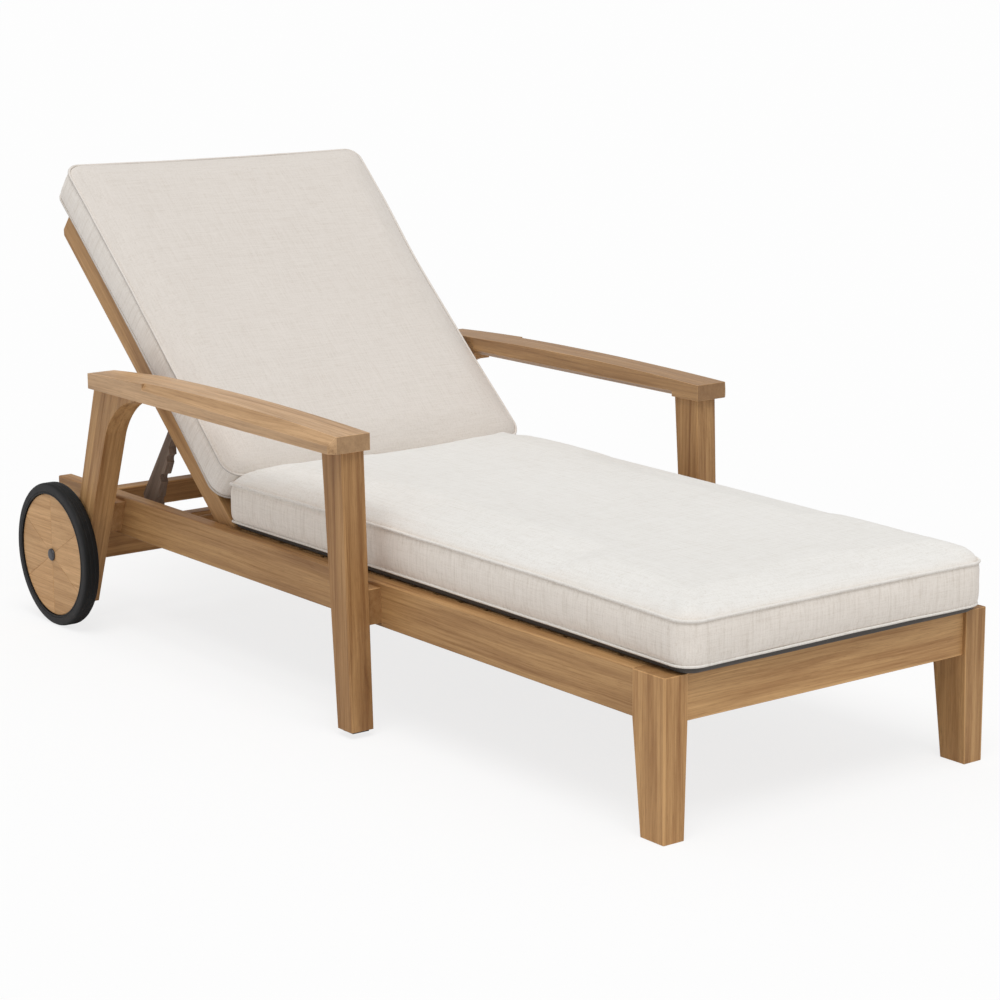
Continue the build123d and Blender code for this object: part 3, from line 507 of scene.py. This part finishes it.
# %% [markdown]
# The cushions are covered in an oatmeal cloth of thick and thin threads. Three stretched noises,
# one along each axis of the cushion, read as warp and weft on the top and as upright slubs on
# the boxing, without any unwrapping. The back cushion's pattern is turned with it. Faces that
# point up take one colour and the sides another, and the difference between them is painted light
# and shade. The underside is painted darker as painted shade, chosen by height in the cushion. For
# the piping that height is set out of reach, so it doesn't get that painted shade.

# %% Cushion cloth
foot_x = 1.0074
hinge_x, hinge_z = foot_x - 1.367, 0.256
recline_angle = math.radians(41.3)
thread_run, thread_pitch = 24.0, 620.0
slub_run, slub_pitch = 9.0, 230.0
upright_scale = (190.0, 190.0, 9.0)
base_blend = 0.0008


def woven_along(finish, place, run, pitch, detail, roughness):
    """The sum of three noises, each stretched along one axis."""
    strands = [
        clouds(finish, place, tuple(run if axis == way else pitch for axis in range(3)),
               detail, roughness)
        for way in range(3)
    ]
    return sum_of(finish, sum_of(finish, strands[0], strands[1]), strands[2])


def cloth_finish(name, turn, base_height, base, panel, side_tone_with_painted_light, depth=1.0):
    """Cloth whose top colour and side colour differ as painted light and shade, with painted shade
    on the underside.
    """
    finish, shader = new_finish(name, panel, 0.92)
    shader.inputs["Specular IOR Level"].default_value = 0.25
    shader.inputs["Sheen Weight"].default_value = 0.12
    shader.inputs["Sheen Roughness"].default_value = 0.5
    spot = put(finish, "ShaderNodeTexCoord")
    place = turned(finish, spot.outputs["Object"], turn)
    upward = part_of(finish, turned(finish, spot.outputs["Normal"], turn), 2)
    threads = woven_along(finish, place, thread_run, thread_pitch, 2.0, 0.6)
    slubs = woven_along(finish, place, slub_run, slub_pitch, 3.0, 0.65)
    wide_patch = clouds(finish, place, 3.0, 3.0, 0.5)
    # Faces that point up take the top colour and the sides another: the difference is painted
    # light and shade.
    facing_up_painted_light = spread(finish, upward, 0.35, 0.85)
    # Below the base height the cloth takes the underside colour, which is painted shade.
    underside_painted_shade = spread(finish, part_of(finish, place, 2), base_height, base_height - base_blend)
    upright = clouds(finish, place, upright_scale, 3.0, 0.6)
    upright_tone = ramp(finish, upright, [
        (0.33, (0.92, 0.91, 0.895)), (0.50, white), (0.70, (1.02, 1.02, 1.02))])
    side = shade(finish, 1.0, upright_tone, side_tone_with_painted_light, "MULTIPLY")
    tone = shade(finish, facing_up_painted_light, side, panel)
    thread_tone = ramp(finish, spread(finish, threads, 1.15, 1.85), [
        (0.0, (0.91, 0.90, 0.88)), (0.5, white), (1.0, (1.03, 1.03, 1.03))])
    slub_tone = ramp(finish, spread(finish, slubs, 1.1, 1.9), [
        (0.0, (0.94, 0.925, 0.91)), (0.45, white), (1.0, (1.02, 1.02, 1.02))])
    patch_tone = ramp(finish, wide_patch, [
        (0.3, (0.985, 0.982, 0.978)), (0.7, (1.01, 1.01, 1.01))])
    for layer in (thread_tone, slub_tone, patch_tone):
        tone = shade(finish, 1.0, tone, layer, "MULTIPLY")
    tone = shade(finish, underside_painted_shade, tone, base)
    finish.node_tree.links.new(tone, shader.inputs["Base Color"])
    roughen(finish, shader, sum_of(finish, threads, slubs), 0.24 * depth, 0.0005)
    return finish


print("thread noise", thread_pitch, "and slub noise", slub_pitch, "to the metre")

# %% Cloth of each cushion and its piping
with_back = (0, -recline_angle, 0)
# Underside colours are painted shade: near black on the seat for the gap under it, the cloth in
# shadow on the back.
shaded_cloth, gap_painted_shade = (0.60, 0.56, 0.51), (0.075, 0.068, 0.062)
seat_base = 0.2948
back_base = hinge_x * math.sin(recline_angle) + hinge_z * math.cos(recline_angle) + 0.0348
below_everything = -1.0
piping_depth = 1.6
# The top and side colours of each cloth differ as painted light and shade.
seat_cloth = cloth_finish(
    "seat_cloth", (0, 0, 0), seat_base, gap_painted_shade, (0.828, 0.812, 0.780), (0.85, 0.787, 0.720))
back_cloth = cloth_finish(
    "back_cloth", with_back, back_base, shaded_cloth, (0.725, 0.675, 0.625),
    (0.875, 0.822, 0.766))
seat_welt_cloth = cloth_finish(
    "seat_welt_cloth", (0, 0, 0), below_everything, shaded_cloth, (0.82, 0.79, 0.75),
    (0.82, 0.78, 0.73), piping_depth)
# The back piping's side colour is far darker than its top: a painted shadow line beside the pale
# cord.
back_welt_cloth = cloth_finish(
    "back_welt_cloth", with_back, below_everything, shaded_cloth, (0.77, 0.72, 0.67),
    (0.60, 0.56, 0.52), piping_depth)
print("cloths finished")

# %% [markdown]
# A boxed cushion has a top, a bottom and a side strip called the boxing, and a piped seam runs
# where they meet. Both cushions are built lying flat and centred, in a frame of their own, so
# one recipe serves both, and then put in place. The end called the head lies at +X there. That is
# the foot end of the seat cushion and the top of the back cushion. Length and width are half
# sizes. The outline is a rectangle whose sides draw in a little, with rounder corners at the foot
# of the seat and at the bottom of the back. The loose back cushion lies a little to the left and
# a little askew.

# %% Cushion sizes
seat_half_length, seat_overhang = 0.68815, 0.0233
back_shift, back_askew, back_rise = 0.020, math.radians(-0.6), 0.496
up_the_back = Vector((-math.cos(recline_angle), 0, math.sin(recline_angle)))
out_of_back = Vector((math.sin(recline_angle), 0, math.cos(recline_angle)))
back_middle = Vector((hinge_x, back_shift, hinge_z)) + up_the_back * back_rise
seat = {
    "node": "seat_cushion", "length": seat_half_length, "width": 0.342,
    "head_corner": 0.038, "tail_corner": 0.010, "pull": 0.004,
    "seams": (0.295, 0.370), "base": 0.2804, "bulge": 0.0026,
    "crown": 0.029, "bow": 0.005, "swell": 0.015, "flare": 0.0,
    "place": Matrix.Translation((foot_x + seat_overhang - seat_half_length, 0, 0)),
}
back = {
    "node": "back_cushion", "length": 0.428, "width": 0.362,
    "head_corner": 0.030, "tail_corner": 0.040, "pull": 0.004,
    "seams": (0.035, 0.107), "base": 0.0244, "bulge": 0.0020,
    "crown": 0.0210, "bow": 0.0, "swell": 0.004, "flare": 0.010,
    "place": Matrix((
        (up_the_back.x, 0, out_of_back.x, back_middle.x),
        (0, -1, 0, back_middle.y),
        (up_the_back.z, 0, out_of_back.z, back_middle.z),
        (0, 0, 0, 1),
    )) @ Matrix.Rotation(back_askew, 4, "Z"),
}
print("seat", 2 * seat["length"], "long, back", 2 * back["length"])

# %% [markdown]
# A cushion is not a box. Its upper seam bows up between the ends, its crown is fuller towards one
# end, and the back cushion is a little wider where it stands above the arm. Small functions bend
# any point of a cushion in these ways, so that the padding and its piping bend together.

# %% Cushion outline
side_steps = 24
corner_degrees = range(0, 90, 10)
least_corner = 0.004
flare_from, flare_to = 0.06, 0.31


def share_between(value, low, high):
    """How far a value is from low to high, from 0 to 1."""
    return min(max((value - low) / (high - low), 0.0), 1.0)


def risen(cushion, point):
    """Bows the upper seam and the crown up between the ends, the crown more towards the tail."""
    low, high = cushion["seams"]
    seam_share = share_between(point.z, low, high)
    crown_share = max(point.z - high, 0.0) / cushion["crown"]
    along = point.x / cushion["length"]
    lift = cushion["bow"] * seam_share * (1 - along ** 2)
    lift += cushion["swell"] * crown_share * (1 - along ** 6) * (0.62 - 0.50 * along)
    return point + Vector((0, 0, lift))


def flared(cushion, point):
    """Widens the back cushion towards its top, on the left only, above the arm."""
    up = share_between(point.x, flare_from, flare_to)
    across = share_between(-point.y, -cushion["width"], cushion["width"])
    return point - Vector((0, cushion["flare"] * up * up * (3 - 2 * up) * across, 0))


def outline(cushion, inset, height):
    """Points once round the cushion, some way inside its seam line."""
    reach_x, reach_y = cushion["length"] - inset, cushion["width"] - inset
    head, tail = (
        max(cushion[end] - inset, least_corner) for end in ("head_corner", "tail_corner"))
    points = []
    for turn, (start, end) in enumerate(
            ((head, tail), (tail, tail), (tail, head), (head, head))):
        half, reach = (reach_x, reach_y) if turn % 2 == 0 else (reach_y, reach_x)
        run_out = []
        for step in range(side_steps):
            share = step / side_steps
            along = (half - start) * (1 - share) - (half - end) * share
            run_out.append((along, reach - cushion["pull"] * (1 - (2 * share - 1) ** 2)))
        for angle in map(math.radians, corner_degrees):
            run_out.append((
                -(half - end) - end * math.sin(angle), reach - end + end * math.cos(angle)))
        quarter_turn = Matrix.Rotation(turn * math.pi / 2, 3, "Z")
        points.extend(
            risen(cushion, quarter_turn @ Vector((along, out, height))) for along, out in run_out)
    return points


def inset_of(cushion, point):
    """How far a point lies inside the cushion's seam line, seen from above."""
    corner = cushion["head_corner"] if point.x > 0 else cushion["tail_corner"]
    beyond_x = abs(point.x) - (cushion["length"] - corner)
    beyond_y = abs(point.y) - (cushion["width"] - corner)
    outside = math.hypot(max(beyond_x, 0.0), max(beyond_y, 0.0))
    return corner - outside - min(max(beyond_x, beyond_y), 0.0)


print("seam points", len(outline(seat, 0, seat["seams"][1])))

# %% [markdown]
# The padding starts as a stack of outlines: a flat base that tucks in under the lower seam, a
# boxing that swells a little, and a crown that rises fast from the upper seam and levels off. A
# block with rounded edges would be quicker to make, but it has no seams to sew along.

# %% Unsewn padding
# How far inside the seam line each layer of the crown lies, and its share of the crown's height
crown_layers = (
    (0.004, 0.27), (0.010, 0.50), (0.020, 0.74), (0.036, 0.89), (0.065, 0.97), (0.120, 1.0))
boxing_steps = 8
seam_inset = -0.001


def plump_shape(cushion):
    """The unsewn shape of a cushion, lying flat in its own frame."""
    low, high = cushion["seams"]
    layers = [(cushion["base"], 0.050), (cushion["base"] + 0.0010, 0.026),
              (low - 0.0040, 0.012), (low, seam_inset)]
    for step in range(1, boxing_steps):
        share = step / boxing_steps
        swelling = cushion["bulge"] * (1 - abs(2 * share - 1) ** 3)
        layers.append((low + (high - low) * share, seam_inset - swelling))
    layers.append((high, seam_inset))
    for inset, share in crown_layers:
        layers.append((high + share * cushion["crown"], inset))
    shape = bmesh.new()
    rings = [[shape.verts.new(point) for point in outline(cushion, inset, height)]
             for height, inset in layers]
    for lower, upper in zip(rings, rings[1:]):
        for n, corner in enumerate(lower):
            shape.faces.new((lower[n - 1], corner, upper[n], upper[n - 1]))
    shape.faces.new(rings[0])
    shape.faces.new(rings[-1])
    bmesh.ops.recalc_face_normals(shape, faces=shape.faces)
    mesh = bpy.data.meshes.new(cushion["node"] + "_plump")
    shape.to_mesh(mesh)
    shape.free()
    return mesh


print(len(crown_layers), "layers in a crown,", boxing_steps, "steps in a boxing")

# %% [markdown]
# Then comes a cloth simulation, because puckers along a seam are hard to draw by hand. The shape
# is remeshed into small even faces and blown up slightly, with the upper seam and the base held,
# so that the panels puff between the seams and pucker along them. How far a point may move is
# capped, so the cushion keeps near its plain solid.

# %% Padding by cloth
fine_voxel, quick_voxel = 0.008, 0.010
cloth_ticks = 20
air_pressure = 4.0
share_of_move = 0.7


def bake(piece):
    """Applies every modifier of a piece to its mesh."""
    bpy.context.view_layer.update()
    depsgraph = bpy.context.evaluated_depsgraph_get()
    solid = bpy.data.meshes.new_from_object(piece.evaluated_get(depsgraph), depsgraph=depsgraph)
    piece.modifiers.clear()
    piece.data = solid


def hold_seams(pad, cushion, start):
    """Pins the points on the upper seam and from the lower seam down."""
    low_seam, high_seam = cushion["seams"]
    seam_height, seam_depth = 0.6 * fine_voxel, 1.5 * fine_voxel
    held = pad.vertex_groups.new(name="held")
    for number, point in enumerate(start):
        off_seam = point.z - risen(cushion, Vector((point.x, 0, high_seam))).z
        near_seam = abs(off_seam) < seam_height and inset_of(cushion, point) < seam_depth
        if near_seam or point.z < low_seam + seam_height:
            held.add([number], 1.0, "REPLACE")


def puff_up(pad, cushion, start, cap, side_cap):
    """Blows the pad up as cloth, then lets each point keep a capped share of its move."""
    cloth = pad.modifiers.new("padding", "CLOTH")
    settings = cloth.settings
    settings.quality = 6
    settings.mass = 0.3
    settings.tension_stiffness = settings.compression_stiffness = 12
    settings.shear_stiffness = 4
    settings.bending_stiffness = 0.4
    settings.shrink_min = -0.005
    settings.use_pressure = True
    settings.uniform_pressure_force = air_pressure
    settings.vertex_group_mass = "held"
    settings.effector_weights.gravity = 0.0
    cloth.collision_settings.use_collision = False
    for tick in range(1, cloth_ticks + 1):
        scene.frame_set(tick)
    bake(pad)
    scene.frame_set(1)
    for vertex, before in zip(pad.data.vertices, start):
        move = (vertex.co - before) * share_of_move
        limit = cap if before.z > cushion["seams"][1] else side_cap
        vertex.co = before + move * min(1.0, limit / max(move.length, 1e-9))


print("the cloth runs for", cloth_ticks, "ticks")

# %% [markdown]
# Last, the padding is smoothed and subdivided, its base is tucked in under the lower seam, and
# it goes to its place. The pad takes the CAD cushion's part, so it rides on the same body.

# %% Padded cushions
tuck_from, tuck_to = 0.002, 0.018


def smooth_and_refine(pad):
    """Two light smoothings and one subdivision."""
    shape = bmesh.new()
    shape.from_mesh(pad.data)
    for _ in range(2):
        bmesh.ops.smooth_vert(shape, verts=shape.verts, factor=0.4,
                              use_axis_x=True, use_axis_y=True, use_axis_z=True)
    shape.to_mesh(pad.data)
    shape.free()
    finer = pad.modifiers.new("finer", "SUBSURF")
    finer.levels = finer.render_levels = 1
    bake(pad)


def box_of(piece):
    """The size of a piece along each axis."""
    spots = [vertex.co for vertex in piece.data.vertices]
    return [round(max(s[axis] for s in spots) - min(s[axis] for s in spots), 4)
            for axis in range(3)]


def padded_cushion(cushion, name, finish, body, cap, side_cap):
    """A padded cushion in place of the CAD one; the caps are the most a point may move."""
    pad = bpy.data.objects.new(name, plump_shape(cushion))
    scene.collection.objects.link(pad)
    remesh = pad.modifiers.new("even_faces", "REMESH")
    remesh.mode = "VOXEL"
    remesh.voxel_size = fine_voxel
    bake(pad)
    start = [vertex.co.copy() for vertex in pad.data.vertices]
    hold_seams(pad, cushion, start)
    puff_up(pad, cushion, start, cap, side_cap)
    smooth_and_refine(pad)
    low_seam = cushion["seams"][0]
    for vertex in pad.data.vertices:
        if vertex.co.z < low_seam:
            share = share_between(inset_of(cushion, vertex.co), tuck_from, tuck_to)
            vertex.co.z = low_seam + (cushion["base"] - low_seam) * share * (2 - share)
        vertex.co = flared(cushion, vertex.co)
    pad.data.transform(cushion["place"])
    pad.data.shade_smooth()
    pad.data.materials.clear()
    pad.data.materials.append(finish)
    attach(pad, body)
    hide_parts(cushion["node"])
    print(name, len(pad.data.polygons), "faces, box", box_of(pad))


padded_cushion(seat, "seat_pad", seat_cloth, "frame", 0.006, 0.0020)
padded_cushion(back, "back_pad", back_cloth, "backrest", 0.005, 0.0010)

# %% [markdown]
# A welt, or piping, is a thin cord wrapped in the same cloth and sewn into the seam. It could be
# raised from the pad's own faces, but a curve with a round bevel keeps its thickness all along
# the seam line. A touch of noise keeps it from looking machined.

# %% Piping
waver_scale, waver_height = 14.0, 0.0008


def welt(cushion, height, name, finish, body, proud, radius=0.0028):
    """A tube along a seam, standing proud of it by a given distance."""
    line = bpy.data.curves.new(name, "CURVE")
    line.dimensions = "3D"
    line.bevel_depth = radius
    line.bevel_resolution = 3
    line.resolution_u = 2
    points = outline(cushion, 0.0, height)
    spline = line.splines.new("NURBS")
    spline.points.add(len(points) - 1)
    for knot, point in zip(spline.points, points):
        outward = Vector((point.x / cushion["length"], point.y / cushion["width"], 0)).normalized()
        waver = noise.noise(point * waver_scale) * waver_height
        moved = point + outward * proud + Vector((0, 0, waver))
        knot.co = (*(cushion["place"] @ flared(cushion, moved)), 1.0)
    spline.use_cyclic_u = True
    spline.order_u = 3
    tube = bpy.data.objects.new(name + "_line", line)
    scene.collection.objects.link(tube)
    depsgraph = bpy.context.evaluated_depsgraph_get()
    mesh = bpy.data.meshes.new_from_object(tube.evaluated_get(depsgraph), depsgraph=depsgraph)
    bpy.data.objects.remove(tube)
    mesh.materials.clear()
    mesh.materials.append(finish)
    mesh.shade_smooth()
    piping = bpy.data.objects.new(name, mesh)
    scene.collection.objects.link(piping)
    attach(piping, body)
    return piping


welts = [
    welt(seat, seat["seams"][1], "seat_welt_upper", seat_welt_cloth, "frame", 0.0012),
    welt(seat, seat["seams"][0], "seat_welt_lower", seat_welt_cloth, "frame", -0.0006, 0.0024),
    welt(back, back["seams"][1], "back_welt_front", back_welt_cloth, "backrest", 0.0010),
    welt(back, back["seams"][0], "back_welt_rear", back_welt_cloth, "backrest", -0.0016, 0.0022),
]
print([piece.name for piece in welts])

# %% [markdown]
# A wheel is a thick teak disc in a black rubber tyre. A round piece is drawn as half a section
# and spun about the axle. The tread is duller and darker than the tyre's sides, so the recipe
# for rubber looks at how far the surface faces along the axle.

# %% Rubber and disc finishes
rubber, rubber_shader = new_finish("tyre_rubber", (0.018, 0.018, 0.019), 0.6)
rubber_shader.inputs["Specular IOR Level"].default_value = 0.28
rubber_place = put(rubber, "ShaderNodeTexCoord")
rubber_spot = rubber_place.outputs["Object"]
dust = clouds(rubber, rubber_spot, 60.0, 5.0, 0.6)
sideways = part_of(rubber, rubber_place.outputs["Normal"], 1)
on_side = spread(rubber, sum_of(rubber, sideways, sideways, "MULTIPLY"), 0.3, 0.8)
tread_tone = ramp(rubber, dust, [(0.35, (0.003, 0.003, 0.003)), (0.75, (0.008, 0.008, 0.008))])
side_tone = ramp(rubber, dust, [(0.35, (0.020, 0.0195, 0.0205)), (0.75, (0.034, 0.033, 0.034))])
rubber_tone = shade(rubber, on_side, tread_tone, side_tone)
rubber.node_tree.links.new(rubber_tone, rubber_shader.inputs["Base Color"])
rubber_gloss = spread(rubber, dust, 0.3, 0.7, 0.5, 0.72)
rubber.node_tree.links.new(rubber_gloss, rubber_shader.inputs["Roughness"])
roughen(rubber, rubber_shader, clouds(rubber, rubber_spot, 900.0, 2.0), 0.25, 0.0003)
teak_disc = teak_finish("teak_disc", along_piece, (0.70, 0.428, 0.208), (0.52, 0.292, 0.124))
print("wheel finishes:", rubber.name, teak_disc.name)

# %% [markdown]
# The tyre gets round shoulders and two fine moulding lines, the disc a small bevel, and the cap
# on the axle a shallow dome. Each section is a list of points, as a distance along the axle and a
# radius, so it reads like the turner's drawing of the piece.

# %% Wheel sections
axle_x, axle_z = foot_x - 1.858, 0.152
same_place = 1e-6
tyre_bore, tyre_radius, shoulder = 0.1300, 0.1520, 0.008
disc_bore, disc_edge, disc_radius, disc_thickness = 0.0111, 0.12785, 0.12985, 0.0280


def spun(section, steps=96):
    """A closed ring: the section's (distance along the axle, radius) points, spun once."""
    shape = bmesh.new()
    ring = [shape.verts.new((0, along, radius)) for along, radius in section]
    edges = [shape.edges.new((a, b)) for a, b in zip(ring, ring[1:] + ring[:1])]
    bmesh.ops.spin(shape, geom=ring + edges, cent=(0, 0, 0), axis=(0, 1, 0),
                   angle=2 * math.pi, steps=steps, use_merge=True, use_duplicate=False)
    bmesh.ops.remove_doubles(shape, verts=shape.verts, dist=same_place)
    bmesh.ops.recalc_face_normals(shape, faces=shape.faces)
    return shape


def quarter_round(along, radius, size, start, steps=5):
    """Points of a round corner about (along, radius), from the angle start down a quarter."""
    angles = [math.radians(start - 90 * n / steps) for n in range(steps + 1)]
    return [(along + size * math.cos(a), radius + size * math.sin(a)) for a in angles]


tyre_section = (
    [(0.0, tyre_bore)] + quarter_round(0.008, 0.144, shoulder, 180)
    + [(0.0120, tyre_radius), (0.0128, 0.1512), (0.0136, tyre_radius), (0.0214, tyre_radius),
       (0.0222, 0.1512), (0.0230, tyre_radius)]
    + quarter_round(0.027, 0.144, shoulder, 90)
    + [(0.0350, 0.1350), (0.0342, 0.1342), (0.0342, 0.1330), (0.0350, 0.1322),
       (0.0350, tyre_bore)]
)
disc_section = [
    (0.0, disc_bore), (0.0, disc_edge), (0.0020, disc_radius), (0.0260, disc_radius),
    (disc_thickness, disc_edge), (disc_thickness, disc_bore)]
cap_dome = [
    (0.0018 + 0.0032 * math.sin(math.radians(a)), 0.0062 + 0.0068 * math.cos(math.radians(a)))
    for a in (18, 36, 54, 72, 90)]
cap_section = [(0.0, 0.0), (0.0, 0.0130), (0.0018, 0.0130)] + cap_dome + [(0.0050, 0.0)]
print(len(tyre_section), "points in the tyre's section")

# %% [markdown]
# The disc is joined from six wedges, which is how a carpenter keeps such a disc flat. Each joint
# shows as a shallow V. The spun disc is cut along three lines through its middle, with a cut on
# either side of each, and the middle points of each V are pushed in. Every wedge gets a board
# number of its own.

# %% Wheel disc
joint_turns = (30, 90, 150)
half_groove, groove_depth = 0.0010, 0.0014
wedge_boards = (0.35, 0.65, 0.42, 0.72, 0.30, 0.55)
on_joint, outside_bore = 2e-6, 0.0112
outer_face_from, inner_face_to = 0.0279, 0.0001


def wedge_disc():
    """The disc in six wedges, with a shallow V at each joint."""
    shape = spun(disc_section)
    board = shape.faces.layers.float.new("board")
    shape.faces.layers.float.new("worn_and_highlight")
    for turn in joint_turns:
        across = Vector((-math.sin(math.radians(turn)), 0, math.cos(math.radians(turn))))
        for shift in (-half_groove, 0.0, half_groove):
            everything = shape.verts[:] + shape.edges[:] + shape.faces[:]
            bmesh.ops.bisect_plane(
                shape, geom=everything, dist=same_place, plane_co=across * shift,
                plane_no=across)
        for vertex in shape.verts:
            radius = math.hypot(vertex.co.x, vertex.co.z)
            if abs(vertex.co.dot(across)) < on_joint and radius > outside_bore:
                if vertex.co.y > outer_face_from:
                    vertex.co.y -= groove_depth
                elif vertex.co.y < inner_face_to:
                    vertex.co.y += groove_depth
    for face in shape.faces:
        middle = face.calc_center_median()
        wedge = int(((math.degrees(math.atan2(middle.z, middle.x)) + 330) % 360) // 60)
        face[board] = wedge_boards[wedge]
    return shape


print(len(wedge_boards), "wedges in a disc")


# %% Both wheels
def wheel_piece(shape, name, side, finish, node, start_y, smooth_angle=32):
    """Turns a spun piece to its side of the lounger and puts it on the axle."""
    if side < 0:
        bmesh.ops.scale(shape, vec=(1, -1, 1), verts=shape.verts)
        bmesh.ops.reverse_faces(shape, faces=shape.faces)
    bmesh.ops.translate(shape, vec=(axle_x, side * start_y, axle_z), verts=shape.verts)
    piece = finish_mesh(shape, name, body_of_node[node], finish, smooth_angle)
    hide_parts(node)
    return piece


tyre_y, disc_y, cap_y = 0.445, 0.4485, 0.4768
for side, hand in ((-1, "right"), (1, "left")):
    wheel_piece(spun(tyre_section, 128), f"tyre_{hand}_rubber", side, rubber,
                f"tyre_{hand}", tyre_y)
    wheel_piece(wedge_disc(), f"wheel_disc_{hand}_boards", side, teak_disc,
                f"wheel_disc_{hand}", disc_y, smooth_angle=20)
    wheel_piece(spun(cap_section, 48), f"hub_cap_{hand}_dome", side, cap_metal,
                "hub_caps", cap_y, smooth_angle=50)
print("wheels dressed")
